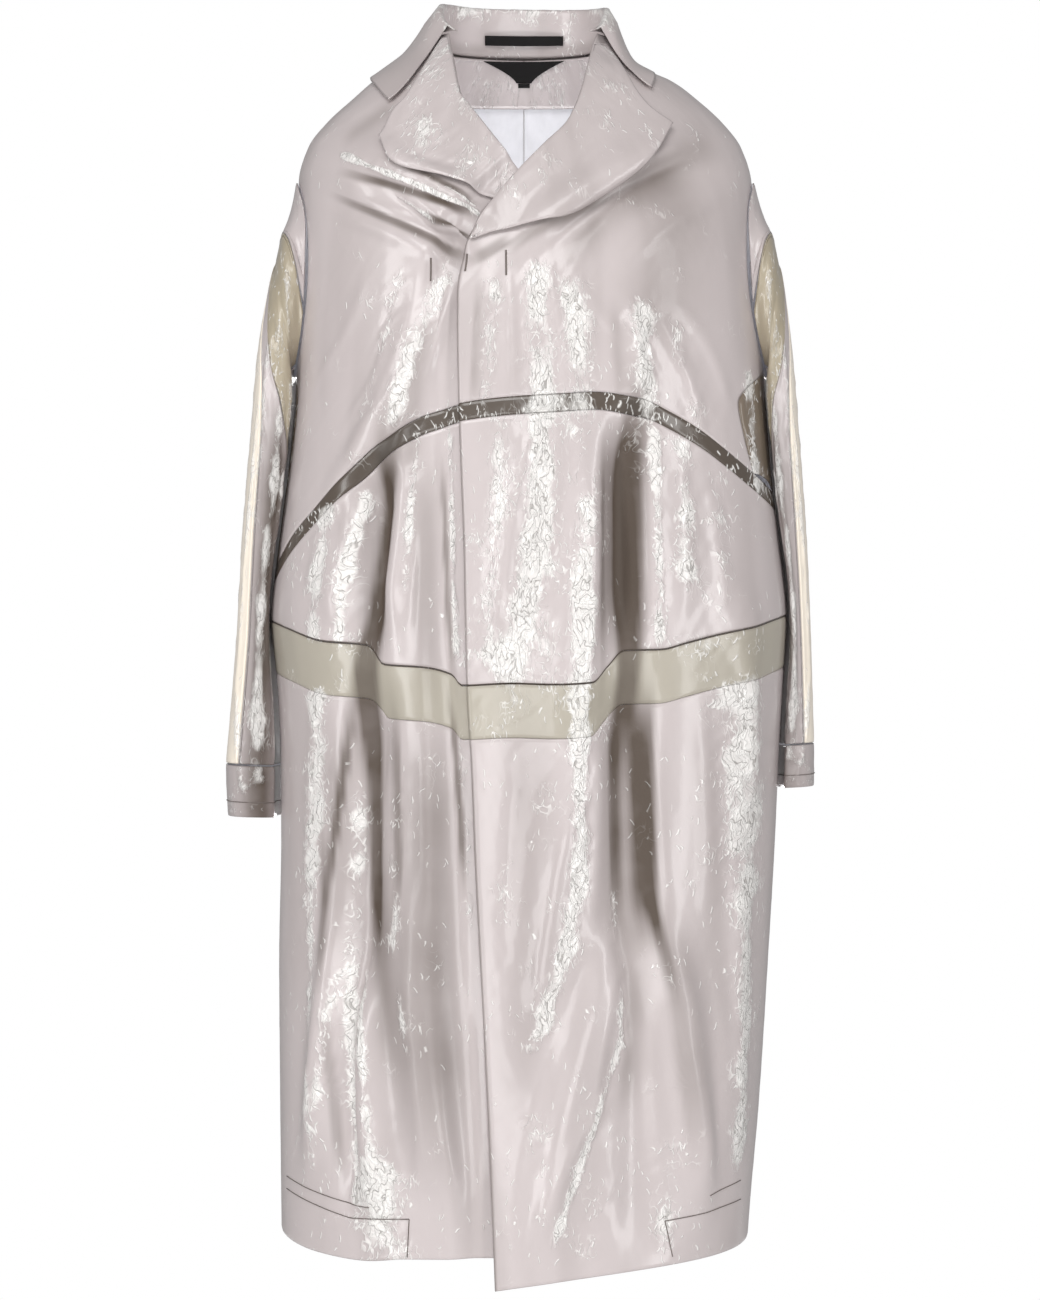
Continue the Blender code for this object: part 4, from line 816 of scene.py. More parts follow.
def weave_group():
    """Fine plain weave: the product of two waves at right angles."""
    if "Fine weave" in bpy.data.node_groups:
        return bpy.data.node_groups["Fine weave"]
    tree, given, result = new_group(
        "Fine weave", (("Cloth", "NodeSocketVector", None), ("Threads", "NodeSocketFloat", 900.0)),
        ("Height",))
    waves = [place(tree, "TexWave", {"Vector": given["Cloth"], "Scale": given["Threads"]},
                   bands_direction=direction).outputs["Fac"] for direction in "XY"]
    fill(tree, result, {"Height": math_node(tree, "MULTIPLY", *waves)})
    return tree


def film_finish(tree, shader, cloth, colour, shade, scatter, roughness, coat, painted_backlight):
    """A cloth under clear crinkled film: the cloth's colour, painted shade in its folds, and the film's
    painted glints.

    deep is the strength of the painted shade, broken up by noise and by faint upright painted streaks;
    the film shines less there. The glints and the glare veil are painted highlights, the grooves painted
    shade. The emission of a see-through cloth is painted light that stands in for the light coming
    through it from behind.
    """
    glint = (*bpy.context.scene.raincoat_colours.glint, 1)
    maths = functools.partial(math_node, tree)
    film = place(tree, "Group", {"Cloth": cloth, "Crumple": mask(tree, "crumple"), "Scatter": scatter},
                 node_tree=crinkle_group()).outputs
    cloudy = maths("MULTIPLY_ADD", noise(tree, cloth, 14.0, 3.0)["Fac"], 0.5, 0.75)
    # Painted shade in the folds.
    deep = maths("MULTIPLY_ADD", film["Shade streak"], 0.12, maths("MULTIPLY", mask(tree, "fold"), cloudy))
    # Painted highlights (veil and glints) and painted shade (grooves) in the base colour.
    base = mixed(tree, film["Glare veil"], mixed(tree, deep, colour, shade), glint)
    open_share = maths("SUBTRACT", 0.95, maths("MULTIPLY", deep, 0.7))
    base = mixed(tree, maths("MULTIPLY", film["Glint"], open_share), base, glint)
    base = mixed(tree, maths("MULTIPLY", film["Groove shade"], 0.5), base, shade)
    rough = maths("MULTIPLY_ADD", film["Glint"], -0.12, roughness)
    fill(tree, shader, {
        "Base Color": mixed(tree, mask(tree, "seam"), base, SEAM_COLOUR),
        "Roughness": maths("MULTIPLY_ADD", deep, 0.3, rough), "IOR": 1.5,
        "Coat Weight": maths("MULTIPLY", ramp(tree, deep, 0.7, 0.1), coat), "Coat Roughness": 0.12,
        # Painted light: an emission that stands in for light coming through a see-through strip.
        "Emission Color": colour, "Emission Strength": painted_backlight,
        "Normal": bumped(tree, film["Height"], 0.8, 1.1 * MM)})


def woven_finish(tree, shader, cloth, colour, roughness, threads, depth):
    """A plain woven cloth or tape."""
    weave = place(tree, "Group", {"Cloth": cloth, "Threads": threads}, node_tree=weave_group()).outputs
    darker = (*(0.8 * value for value in colour[:3]), 1)
    fill(tree, shader, {"Base Color": mixed(tree, noise(tree, cloth, 40.0, 3.0)["Fac"], colour, darker),
                        "Roughness": roughness, "Specular IOR Level": 0.15,
                        "Normal": bumped(tree, weave["Height"], 0.5, depth)})


# Colour of a seam's dark line: the joint's own dark, and at the waist seam also painted shadow.
SEAM_COLOUR = (0.085, 0.065, 0.05, 1)
# Finishes of cloth under film: the colour of the cloth and the painted shade of its folds, how much is
# strewn over it (crinkles with painted glints), its roughness, its coat and its painted glow, an emission
# that stands in for light through a see-through cloth.
FILMS = {"film_cloth": ("film_cloth", "film_shade", 0.22, 0.32, 0.4, 0.0),
         "band_cloth": ("band_cloth", "band_shade", 0.20, 0.34, 0.4, 0.0),
         "tape": ("tape", "tape_shade", 1.5, 0.28, 0.4, 0.0),
         "gusset_cloth": ("gusset", "tape", 0.9, 0.28, 0.4, 0.0),
         "khaki_cloth": ("khaki", "khaki_shade", 0.30, 0.30, 0.5, 0.0),
         "cream_film": ("cream", "cream_shade", 0.45, 0.30, 0.4, 0.16)}
# Woven finishes: the colour, the roughness, the threads in a metre and their depth.
WOVENS = {"black_trim": ("trim", 0.62, 700.0, 0.12 * MM),
          "white_inside": ("inside", 0.6, 500.0, 0.06 * MM),
          "thread": ("thread", 0.7, 1200.0, 0.05 * MM)}


def finish(name):
    """The material of a finish, in the colours that the user has set, over the piece's flat coordinates."""
    label = name + "_finish"
    if label in bpy.data.materials:
        return bpy.data.materials[label]
    made = bpy.data.materials.new(label)
    made.use_nodes = True
    tree = made.node_tree
    shader = tree.nodes["Principled BSDF"]
    cloth = place(tree, "UVMap", uv_map="Cloth").outputs[0]

    def colour(key):
        """A colour of the user's with its alpha."""
        return (*getattr(bpy.context.scene.raincoat_colours, key), 1)

    if name in FILMS:
        key, shade, *values = FILMS[name]
        film_finish(tree, shader, cloth, colour(key), colour(shade), *values)
    else:
        key, *values = WOVENS[name]
        woven_finish(tree, shader, cloth, colour(key), *values)
    made.diffuse_color = colour(key)
    return made


# ---------------------------------------------------------------------------------------------------------
# Pieces


def grid_object(name, points, cloth, masks, finishes, wall, closed=False, away=None):
    """A cloth piece: a grid's surface with a wall. away points out of its right side, at each grid point."""
    columns, lines = points.shape[:2]
    index = np.arange(columns * lines).reshape(columns, lines)
    corners = np.vstack((index[:-1], index[:1])) if closed else index
    quads = np.stack((corners[:-1, :-1], corners[:-1, 1:], corners[1:, 1:], corners[1:, :-1]), axis=-1)
    if away is None:
        away = points * (1, 1, 0)
    if np.sum(np.cross(np.gradient(points, axis=1), np.gradient(points, axis=0)) * away) < 0:
        quads = quads[..., ::-1]
    used = columns - 1 if closed else columns
    mesh = bpy.data.meshes.new(name)
    mesh.from_pydata(points[:used].reshape(-1, 3).tolist(), [], quads.reshape(-1, 4).tolist())
    loops = np.empty(len(mesh.loops), dtype=int)
    mesh.loops.foreach_get("vertex_index", loops)
    flat = cloth[:used].reshape(-1, 2)[loops]
    if closed:
        seam_faces = np.repeat(np.arange(len(mesh.polygons)) >= (used - 1) * (lines - 1), 4)
        wrap = seam_faces & (loops < lines)
        flat[wrap] = cloth[-1].reshape(-1, 2)[loops[wrap] % lines]
    mesh.uv_layers.new(name="Cloth").data.foreach_set("uv", flat.ravel().astype(np.float32))
    for label, values in masks.items():
        made = mesh.attributes.new(label, "FLOAT", "POINT")
        made.data.foreach_set("value", values[:used].ravel().astype(np.float32))
    mesh.shade_smooth()
    piece = bpy.data.objects.new(name, mesh)
    bpy.context.scene.collection.objects.link(piece)
    for label in finishes:
        mesh.materials.append(finish(label))
    shell = piece.modifiers.new("wall", "SOLIDIFY")
    shell.thickness = wall
    shell.offset = 0
    shell.material_offset = len(finishes) - 1
    return piece


def relieved(points, relief, away):
    """Points moved along their grid's normals, on the side that away points to, by relief."""
    normal = grid_normals(points)
    if np.sum(normal * away) < 0:
        normal = -normal
    return points + normal * relief[..., None]


def dress(piece, node):
    """Attaches a piece to the root and hides the solid it stands for."""
    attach(piece, "root")
    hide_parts(node)


def body_piece(name, slot, turn, height, lift, inside=True, with_pieces=(),
               seams=(0.0, 0.0, 0.0, 0.0), calm=None, look=None):
    """A piece on the garment surface: its folds, then creases, crumpled relief and turned-in seam edges.

    calm, where given, is the piece's even crumple and shade, in place of the tables' bands. look is its
    finish, where that isn't its slot's own.
    """
    sizes = bpy.context.scene.raincoat_sizes
    plain = lifted_point(turn, height, lift)
    cloth = np.stack((turn * MEAN_RADIUS, height), axis=-1)
    crumple = np.full_like(turn, calm[0]) if calm else crumple_strength(turn, height)
    relief = sizes.crease_share * fold_heights(CREASES, turn, height)
    relief += sizes.crumple_height * (crumple + SLACK) * crinkle_relief(cloth[..., 0], cloth[..., 1])
    distance = edge_distances(plain)
    relief *= ease(distance / EDGE_CALM)
    relief -= sizes.seam_depth * (1 - ease(distance / sizes.seam_run))
    points = relieved(plain, relief, plain * (1, 1, 0))
    # fold is a mask of painted shade: even on a calm piece, else the shaded runs and the troughs.
    if calm:
        fold = np.full_like(turn, calm[1])
    else:
        troughs = np.minimum(fold_heights(FOLDS, turn, height) / DEEP_TROUGH, 0)
        shades = fold_heights(SHADES, turn, height, CRISP) + fold_heights(SOFT_SHADES, turn, height)
        fold = np.clip(shades / MM - TROUGH_SHADE * troughs, 0, 1)
    masks = {"crumple": crumple * (1 - SHADE_CALM * fold), "fold": fold, "seam": seam_shade(plain, seams)}
    finishes = (look or slot, "white_inside") if inside else (look or slot,)
    piece = grid_object(name + "_cloth", points, cloth, masks, finishes, sizes.cloth)
    dress(piece, name)


def sewn_line(name, points, half_width=THREAD_HALF):
    """A sewn line: a low half-round thread carried along a path on the coat, in millimetres."""
    path = np.array(points, dtype=float) * MM
    run = run_along(path)
    at = np.linspace(0, run[-1], max(3, int(run[-1] / STITCH_STEP)))
    x, z = [np.interp(at, run, line) for line in path.T]
    way = np.stack((np.gradient(x), np.gradient(z)), axis=-1)
    way = way / np.linalg.norm(way, axis=-1, keepdims=True)
    side = np.linspace(-1, 1, 5)[:, None]
    across_x = x[None] - side * way[:, 1][None] * half_width * MM
    across_z = z[None] + side * way[:, 0][None] * half_width * MM
    turn = turn_at(across_x, across_z)
    crease = fold_heights(CREASES, turn, across_z) * bpy.context.scene.raincoat_sizes.crease_share
    raised = (THREAD_LIFT + THREAD_RISE * np.cos(side * math.pi / 2)) * MM + crease
    cloth = np.stack((across_x, across_z), axis=-1)
    sheet = lifted_point(turn, across_z, raised)
    piece = grid_object(name, sheet, cloth, {}, ("thread",), THREAD_WALL)
    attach(piece, "root")
    return piece


def colour_property(name, description, default):
    """A colour that a user may change."""
    return bpy.props.FloatVectorProperty(
        name=name, description=description, default=default, subtype="COLOR", size=3, min=0, max=1)


def length_property(name, description, default):
    """A length that a user may change."""
    return bpy.props.FloatProperty(
        name=name, description=description, default=default, unit="LENGTH", precision=4)


class RaincoatSizes(bpy.types.PropertyGroup):
    """Sizes of the cloth and its finish"""
    cloth: length_property("Cloth", "Thickness of the cloth and film", 1.3 * MM)
    seam_depth: length_property("Seam depth", "How far a piece's edge sinks at its seam", 0.7 * MM)
    seam_run: length_property("Seam run", "Width in which the edge sinks", 2.6 * MM)
    crease_share: bpy.props.FloatProperty(
        name="Creases", description="Height of the creases, as a share of their own", default=1.0,
        subtype="FACTOR")
    crumple_height: length_property("Crumple", "Height of the crumpled relief", 0.7 * MM)


class RaincoatColours(bpy.types.PropertyGroup):
    """Colours of the finishes"""
    film_cloth: colour_property("Cloth", "Grey cloth under the film", (0.60, 0.535, 0.53))
    # film_shade, band_shade, tape_shade, khaki_shade and cream_shade are painted shade, mixed in the folds.
    film_shade: colour_property("Cloth in folds", "The cloth where folds double it", (0.088, 0.064, 0.048))
    band_cloth: colour_property("Waist band", "Band below the waist seam", (0.47, 0.43, 0.36))
    band_shade: colour_property("Band in folds", "The band where folds double it", (0.15, 0.125, 0.10))
    tape: colour_property("Tape", "Arched tape", (0.10, 0.078, 0.062))
    tape_shade: colour_property("Tape in folds", "The tape where folds double it", (0.05, 0.04, 0.032))
    gusset: colour_property("Gusset", "Underarm gussets", (0.21, 0.165, 0.125))
    khaki: colour_property("Insert", "Sleeve inserts", (0.44, 0.38, 0.28))
    khaki_shade: colour_property("Insert in folds", "The inserts where folds double them", (0.3, 0.25, 0.18))
    cream: colour_property("Strip", "Outer sleeve strips", (0.95, 0.86, 0.74))
    cream_shade: colour_property("Strip in folds", "The strips where folds double them", (0.55, 0.47, 0.38))
    inside: colour_property("Inside", "Reverse of the cloth", (0.93, 0.925, 0.96))
    # glint: painted highlights on the crinkles, partly the film's whitened creases.
    glint: colour_property("Film glint", "Whitened creases of the film", (0.95, 0.93, 0.90))
    trim: colour_property("Trims", "Hanger loop, label and size tab", (0.010, 0.009, 0.009))
    thread: colour_property("Thread", "Sewing thread", (0.20, 0.17, 0.155))


class RaincoatStage(bpy.types.PropertyGroup):
    """Sizes of the stage"""
    floor_height: length_property("Floor", "Height of the floor", -1.56)
    floor_side: length_property("Floor side", "Length of the floor's sides", 3.6)
    distance: length_property("Camera distance", "Camera in front of the coat's axis", 3.6)
    eye: length_property("Camera height", "Height of the camera", -0.5565)
    lens: bpy.props.FloatProperty(name="Lens", description="Focal length in millimetres", default=101.2)


class RAINCOAT_OT_fronts(bpy.types.Operator):
    """Fronts: yoke, arched tape, tier, waist band, skirt and gusset of both sides"""
    bl_idname = "raincoat.fronts"
    bl_label = "Fronts"

    def execute(self, context):
        for side, word in ((1, "left"), (-1, "right")):
            build_front(side, word)
        return {"FINISHED"}


def hung_tiers(word, tiers):
    """A side's tiers from the top down: each one's name, how it is held, what it hangs from, and the rest."""
    held, above = "draped", "collar_cloth"
    for name, *rest in tiers:
        yield f"{name}_{word}", held, [above], rest
        held, above = "hung", f"{name}_{word}_cloth"


def sewing_on(node):
    """The sewn lines and the slits of a piece."""
    kinds = (("stitching", SEWN_LINES, THREAD_HALF), ("slit", SLITS, SLIT_HALF))
    return [sewn_line(f"{node}_{kind}_{i}", points, half_width) for kind, table, half_width in kinds
            for i, (sewn_on, *points) in enumerate(table) if sewn_on == node]


def build_front(side, word):
    """The five pieces of one front and its gusset, from the shoulder to the hem."""
    over = side > 0
    half_gap = SEAM_GAP / 2
    inner = functools.partial(edge_turn, OVER_EDGE if over else UNDER_EDGE)
    yoke = (inner, functools.partial(front_side_turn, side=side))
    whole = (*yoke, functools.partial(side_seam_turn, side=side, face="front"))
    arch = functools.partial(seam_height, ARCH_TOP)
    waist = functools.partial(seam_height, WAIST)
    hem = functools.partial(seam_height, OVER_HEM if over else UNDER_HEM)
    # Name, side edges, top and bottom seams, lines of the grid, length, slot and the seams' shades.
    tiers = (
        ("yoke", yoke, shifted(neck_seam, half_gap), shifted(arch, -half_gap), 96, 0.40, "film_cloth",
         (0.5, 0.3, 0.0, 0.2)),
        ("arch_tape", whole, shifted(arch, half_gap), shifted(arch, ARCH_WIDTH - half_gap), 5, 0.017,
         "tape", (0.4, 0.4, 0.5, 0.3)),
        # At 1.7, the waist seam's line on tier and band also paints the shadow under the tier's overhang.
        ("tier", whole, shifted(arch, ARCH_WIDTH + half_gap), shifted(waist, -half_gap), 62, 0.22,
         "film_cloth", (0.5, 0.4, 0.0, 1.7)),
        ("waist_band", whole, shifted(waist, half_gap), shifted(waist, BAND_WIDTH - half_gap), 14, 0.05,
         "band_cloth", (0.4, 0.4, 1.7, 0.0)),
        ("skirt", whole, shifted(waist, BAND_WIDTH + half_gap), hem, 150, 0.53, "film_cloth",
         (0.5, 0.4, 0.0, 0.0)),
    )
    for node, held, rests_on, (edges, top, bottom, lines, length, slot, seams) in hung_tiers(word, tiers):
        columns = (116,) if edges is yoke else (96, 10)
        turn, height = stack_grid(edges, columns, top, bottom, lines, length)
        if edges is yoke:
            turn, height = halved(turn), halved(height)
        lift = 0.0 if over else -LAP_DEPTH * lap_share(turn, height)
        body_piece(node, slot, turn, height, lift, slot != "tape", sewing_on(node), seams)
        if edges is yoke:
            build_gusset(side, word, turn[-1], height[-1], arch)


def build_gusset(side, word, seam_turn, seam_line, arch):
    """An underarm gusset: from its seam on the yoke to the side seam, and down to the arched tape."""
    below = seam_line < GUSSET_EDGE[0][0] * MM
    start_turn = seam_turn[below] + side * SEAM_GAP / MEAN_RADIUS
    start_height = seam_line[below]
    down = (start_height[0] - start_height) / (start_height[0] - start_height[-1])
    s = np.linspace(0, 1, GUSSET_COLUMNS)[:, None]
    height = start_height[None, :] + 0 * s
    for _ in range(ROUNDS):
        turn = start_turn[None, :] * (1 - s) + side_seam_turn(height, side, "front") * s
        end = arch(turn, height) + SEAM_GAP / 2
        height = start_height[None, :] + (end - start_height[-1]) * down[None, :] * s
    body_piece(f"gusset_{word}", "tape", turn, height, 0.0, False,
               look="gusset_cloth")


class RAINCOAT_OT_backs(bpy.types.Operator):
    """Backs: upper back, waist band and skirt of both sides"""
    bl_idname = "raincoat.backs"
    bl_label = "Backs"

    def execute(self, context):
        for side, word in ((1, "left"), (-1, "right")):
            build_back(side, word)
        return {"FINISHED"}


def build_back(side, word):
    """The three pieces of one back, from the shoulder to the hem."""
    half_gap = SEAM_GAP / 2
    edges = (functools.partial(side_seam_turn, side=side, face="back"),
             functools.partial(centre_back_turn, side=side))
    waist = level(BACK_WAIST)
    # Name, top and bottom seams, lines of the grid, their crowding, length, slot and lower seam's shade.
    tiers = (
        ("back", shifted(neck_seam, half_gap), shifted(waist, -half_gap), 120, 1.2, 0.56, "film_cloth", 0.5),
        ("back_band", shifted(waist, half_gap), shifted(waist, BAND_WIDTH - half_gap), 12, 1.0, 0.05,
         "band_cloth", 0.0),
        ("back_skirt", shifted(waist, BAND_WIDTH + half_gap), level(BACK_HEM), 120, 1.0, 0.55, "film_cloth",
         0.0),
    )
    for node, held, rests_on, (top, bottom, lines, crowding, length, slot, shade) in hung_tiers(word, tiers):
        turn, height = stack_grid(edges, (72,), top, bottom, lines, length, crowding)
        body_piece(node, slot, turn, height, 0.0, seams=(0.4, 0.4, 0.0, shade))


class RAINCOAT_OT_lapels(bpy.types.Operator):
    """Lapels, turned back on the fronts from their roll lines"""
    bl_idname = "raincoat.lapels"
    bl_label = "Lapels"

    def execute(self, context):
        build_lapel(1, "left", OVER_EDGE, LAPEL_LEFT, (0.2, 0.12))
        build_lapel(-1, "right", UNDER_EDGE, LAPEL_RIGHT, (0.34, 0.0))
        return {"FINISHED"}


def build_lapel(side, word, edge, outline, calm):
    """A lapel: straight lines from its roll, just inside the front's edge, to its outer edge, and its lift.

    The outer edge runs smoothly from the collar to the tip, and from there to the break.
    """
    outline = np.array(outline, dtype=float) * MM
    lengths = run_along(outline)
    parts = []
    for part, lines in ((slice(0, LAPEL_TIP + 1), 40), (slice(LAPEL_TIP, None), 74)):
        run = lengths[part][-1] - lengths[part][0]
        spread = np.delete(seam_spread(lines, run), (-2, -3) if part.start == 0 else (1, 2))
        at = lengths[part][0] + run * spread
        parts.append(np.stack([at] + [smooth(at, lengths[part], line) for line in outline[part].T], axis=-1))
    edge_points = np.concatenate((parts[0][:-1], parts[1]))
    share, outer = edge_points[:, 0] / lengths[-1], edge_points[:, 1:]
    top, bottom = outline[0, 1], outline[-1, 1]
    roll_height = top + (bottom - top) * share
    heights, across = rows(edge).T
    roll = np.stack((smooth(roll_height, heights, across) + side * ROLL_INSET, roll_height), axis=-1)
    s = seam_spread(26, 0.08)[:, None, None]
    flat = roll[None] * (1 - s) + outer[None] * s
    turn, height = turn_at(flat[..., 0], flat[..., 1]), flat[..., 1]
    lapped = 0.0 if side > 0 else lap_share(turn, height)
    arch = np.sin(s[..., 0] * math.pi / 2) * np.sin(math.pi * share[None, :] ** 0.8)
    lift = (LAPEL_LIFT + LAPEL_STAND * arch) * (1 - lapped) - LAPPED_LAPEL_DEPTH * lapped
    body_piece(f"lapel_{word}", "film_cloth", turn, height, lift, False,
               calm=calm)


def collar_half(table, side, stations):
    """Points of one half of the collar's neck seam, fold, middle and free edge, from the centre back."""
    half = np.array(table, dtype=float)
    knots = np.arange(len(half), dtype=float)
    fine = (len(half) - 1) * stations
    columns = [smooth(fine, knots, column) for column in half.T]
    turns, heights = np.array(NECK_SEAM, dtype=float).T
    seams = coat_point(side * np.radians(columns[0]), smooth(columns[0], turns, heights * MM))
    seams[:, 2] += COLLAR_GAP
    return [seams] + [np.stack(columns[i:i + 3], axis=-1) * MM * (side, 1, 1) for i in (1, 4, 7)]


def collar_rows():
    """Points of the whole collar's neck seam, fold, middle and free edge, from the right end to the left."""
    stations = np.concatenate((np.linspace(0, 1, 56)[:-1], (0.985, 0.995, 1)))
    halves = zip(collar_half(COLLAR_RIGHT, -1, stations), collar_half(COLLAR_LEFT, 1, stations))
    return [np.concatenate((right[::-1][:-1], left)) for right, left in halves]


CLOSE_SHOULDER = (1.1, 2.6)     # turns between which the collar's fall lies closer
PUSH_SOFT = 3 * MM          # softness with which points are moved clear


def pushed_clear(points, clear):
    """Points moved straight out from the coat's axis where they are less than clear from its surface.

    At the wearer's left shoulder, where the fall lies closer, half of that will do.
    """
    turn = np.arctan2(points[..., 0], -points[..., 1])
    front, rear = CLOSE_SHOULDER
    clear = clear * (1 - 0.5 * ease((turn - front) / 0.25) * ease((rear - turn) / 0.7))
    reach = np.hypot(points[..., 0], points[..., 1])
    least = plain_radius(turn, points[..., 2]) + fold_heights(FOLDS, turn, points[..., 2]) + clear
    pushed = (reach + least + np.sqrt((reach - least) ** 2 + PUSH_SOFT ** 2)) / 2
    grow = (pushed / reach)[..., None]
    return points * np.concatenate((grow, grow, np.ones_like(grow)), axis=-1)


class RAINCOAT_OT_collar(bpy.types.Operator):
    """Collar: a stand from the neck seam to the fold, and the fall over its back"""
    bl_idname = "raincoat.collar"
    bl_label = "Collar"

    def execute(self, context):
        build_collar()
        return {"FINISHED"}


def collar_grid():
    """Points of the collar: up its stand, round the bend, down its bowed fall; and the run of its fold."""
    seams, folds, middles, edges = collar_rows()
    outward = (edges - folds) * (1, 1, 0)
    outward = outward / np.linalg.norm(outward, axis=1, keepdims=True)
    from_end = np.minimum(np.arange(len(folds)), np.arange(len(folds))[::-1])
    outward = outward * (0.2 + 0.8 * ease(from_end / COLLAR_ENDS))[:, None]
    profile = [seams * (1 - share) + folds * share for share in np.linspace(0, 1, STAND_ROWS + 1)[:-1]]
    bend_tip = folds + outward * BEND_REACH + np.array((0, 0, BEND_RISE))
    for share in np.linspace(0, 1, BEND_ROWS + 1)[:-1]:
        start = folds * (1 - share) + bend_tip * share
        profile.append(start + np.array((0, 0, BEND_ROUND)) * math.sin(share * math.pi))
    profile.append(bend_tip)
    bend = middles - (folds + edges) / 2
    for share in np.concatenate((np.linspace(FALL_START, 1, FALL_ROWS), [0.985, 1.0])):
        start = folds + outward * FALL_STAND * (1 - share)
        fall = start * (1 - share) + edges * share + bend * 4 * share * (1 - share)
        profile.append(pushed_clear(fall, COLLAR_CLEAR))
    profile[-3:] = [profile[-3] * (1 - s) + profile[-1] * s for s in (0.0, 0.6, 1.0)]
    return np.stack(profile, axis=1), run_along(folds)


def build_collar():
    """The collar with its crumpled relief, most of it near the fold."""
    plain, run = collar_grid()
    down = run_along(plain, 1)
    cloth = np.stack((run[:, None] + 0 * down, down), axis=-1)
    falls = np.arange(plain.shape[1]) > STAND_ROWS + 2 * BEND_ROWS
    away = plain * (1, 1, 0) * falls[None, :, None]
    near_fold = np.exp(-((down - down[:, STAND_ROWS:STAND_ROWS + 1]) / FOLD_HALF) ** 2)
    crumple = COLLAR_CRUMPLE[0] + COLLAR_CRUMPLE[1] * near_fold
    relief = COLLAR_CREASE * crinkle_relief(*np.moveaxis(cloth * COLLAR_FINE, -1, 0)) * crumple
    points = relieved(plain, relief * ease(edge_distances(plain) / COLLAR_CALM), away)
    # The fold mask is painted shade, more of it on the stand near the neck seam.
    masks = {"crumple": crumple, "fold": 0.12 + np.clip(0.5 - down / (30 * MM), 0, 0.25),
             "seam": np.zeros_like(down)}
    piece = grid_object("collar_cloth", points, cloth, masks, ("film_cloth",),
                        bpy.context.scene.raincoat_sizes.cloth, away=away)
    dress(piece, "collar")


def trim_patch(name, top, bottom, half_top, half_bottom, columns):
    """A patch inside the neck facing, straight at top and bottom, with hollow sides, and its grid."""
    s = np.linspace(-1, 1, columns + 1)[:, None]
    t = np.linspace(0, 1, 15)[None, :]
    height = top * (1 - t) + bottom * t + 0 * s
    across = s * (half_bottom + (half_top - half_bottom) * (1 - t) ** LABEL_HOLLOW)
    turn = np.mod(turn_at(across, height, "back"), 2 * math.pi)
    points = lifted_point(turn, height, -(FACING_DROP + LABEL_DROP))
    cloth = np.stack((across, height), axis=-1)
    return grid_object(name + "_cloth", points, cloth, {}, ("black_trim",), TRIM_WALL), points


class RAINCOAT_OT_neck_trims(bpy.types.Operator):
    """Neck facing, bare label and size tab, and the hanger loop"""
    bl_idname = "raincoat.neck_trims"
    bl_label = "Neck trims"

    def execute(self, context):
        build_facing()
        build_label()
        build_loop()
        return {"FINISHED"}


def build_facing():
    """The neck facing, inside the back from the neck seam down."""
    edges = [functools.partial(np.full_like, fill_value=math.pi + side * math.radians(FACING_TURN))
             for side in (-1, 1)]
    top, bottom = shifted(neck_seam, -FACING_RISE), level(NECK_FACING_HEM)
    turn, height = stack_grid(edges, (60,), top, bottom, 14, 0.045)
    body_piece("neck_facing", "film_cloth", turn, height, -FACING_DROP, False,
               calm=(0.3, 0.1))


def build_label():
    """The bare label and, below it, the bare size tab."""
    label, points = trim_patch("neck_label", LABEL_TOP, LABEL_BOTTOM, LABEL_HALF_TOP, LABEL_HALF_BOTTOM, 36)
    tab, _ = trim_patch("size_tab", LABEL_BOTTOM - TAB_TOP, LABEL_BOTTOM - TAB_BOTTOM, TAB_HALF, TAB_HALF, 6)
    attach(tab, "root")
    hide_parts("size_tab")
    dress(label, "neck_label")


def build_loop():
    """The hanger loop: a tape along the collar's stand that hangs away from it in the middle."""
    seams, folds = collar_rows()[:2]
    across = np.linspace(-LOOP_HALF, LOOP_HALF, 41)
    order = np.argsort(seams[:, 0])
    tape = []
    for share in np.linspace(*LOOP_SPAN, 7):
        line = (seams * (1 - share) + folds * share)[order]
        x, y, z = [np.interp(across, line[:, 0], values) for values in line.T]
        away = LOOP_REST + LOOP_HANG * np.cos(across / LOOP_HALF * math.pi / 2)
        tape.append(np.stack((x, y - away, z), axis=-1))
    points = np.stack(tape, axis=1)
    piece = grid_object("hanger_loop_cloth", points, points[..., (0, 2)], {}, ("black_trim",), LOOP_WALL)
    dress(piece, "hanger_loop")


def side_reach(y, height, side):
    """How far out the coat's unfolded side reaches at a depth and height."""
    right, left, front, back = section_sizes(height)
    depth = np.where(y < 0, front, back)
    power = np.where(y < 0, FRONT_SQUARE, BACK_SQUARE)
    share = np.clip(np.abs(y) / depth, 0, 1)
    return (left if side > 0 else right) * (1 - share ** power) ** (1 / power)


def sleeve_ring(along, table):
    """Sizes of a sleeve's ring: outer x and z, inner x and z, the middle of its depth and its half depth."""
    values = np.array(table, dtype=float) * MM
    stations = np.linspace(0, 1, len(values))
    return [smooth(along, stations, column) for column in values.T]


def fuller(wave):
    """A sine or cosine made fuller: its size to the power SLEEVE_SQUARE, with its own sign."""
    return np.sign(wave) * np.abs(wave) ** SLEEVE_SQUARE


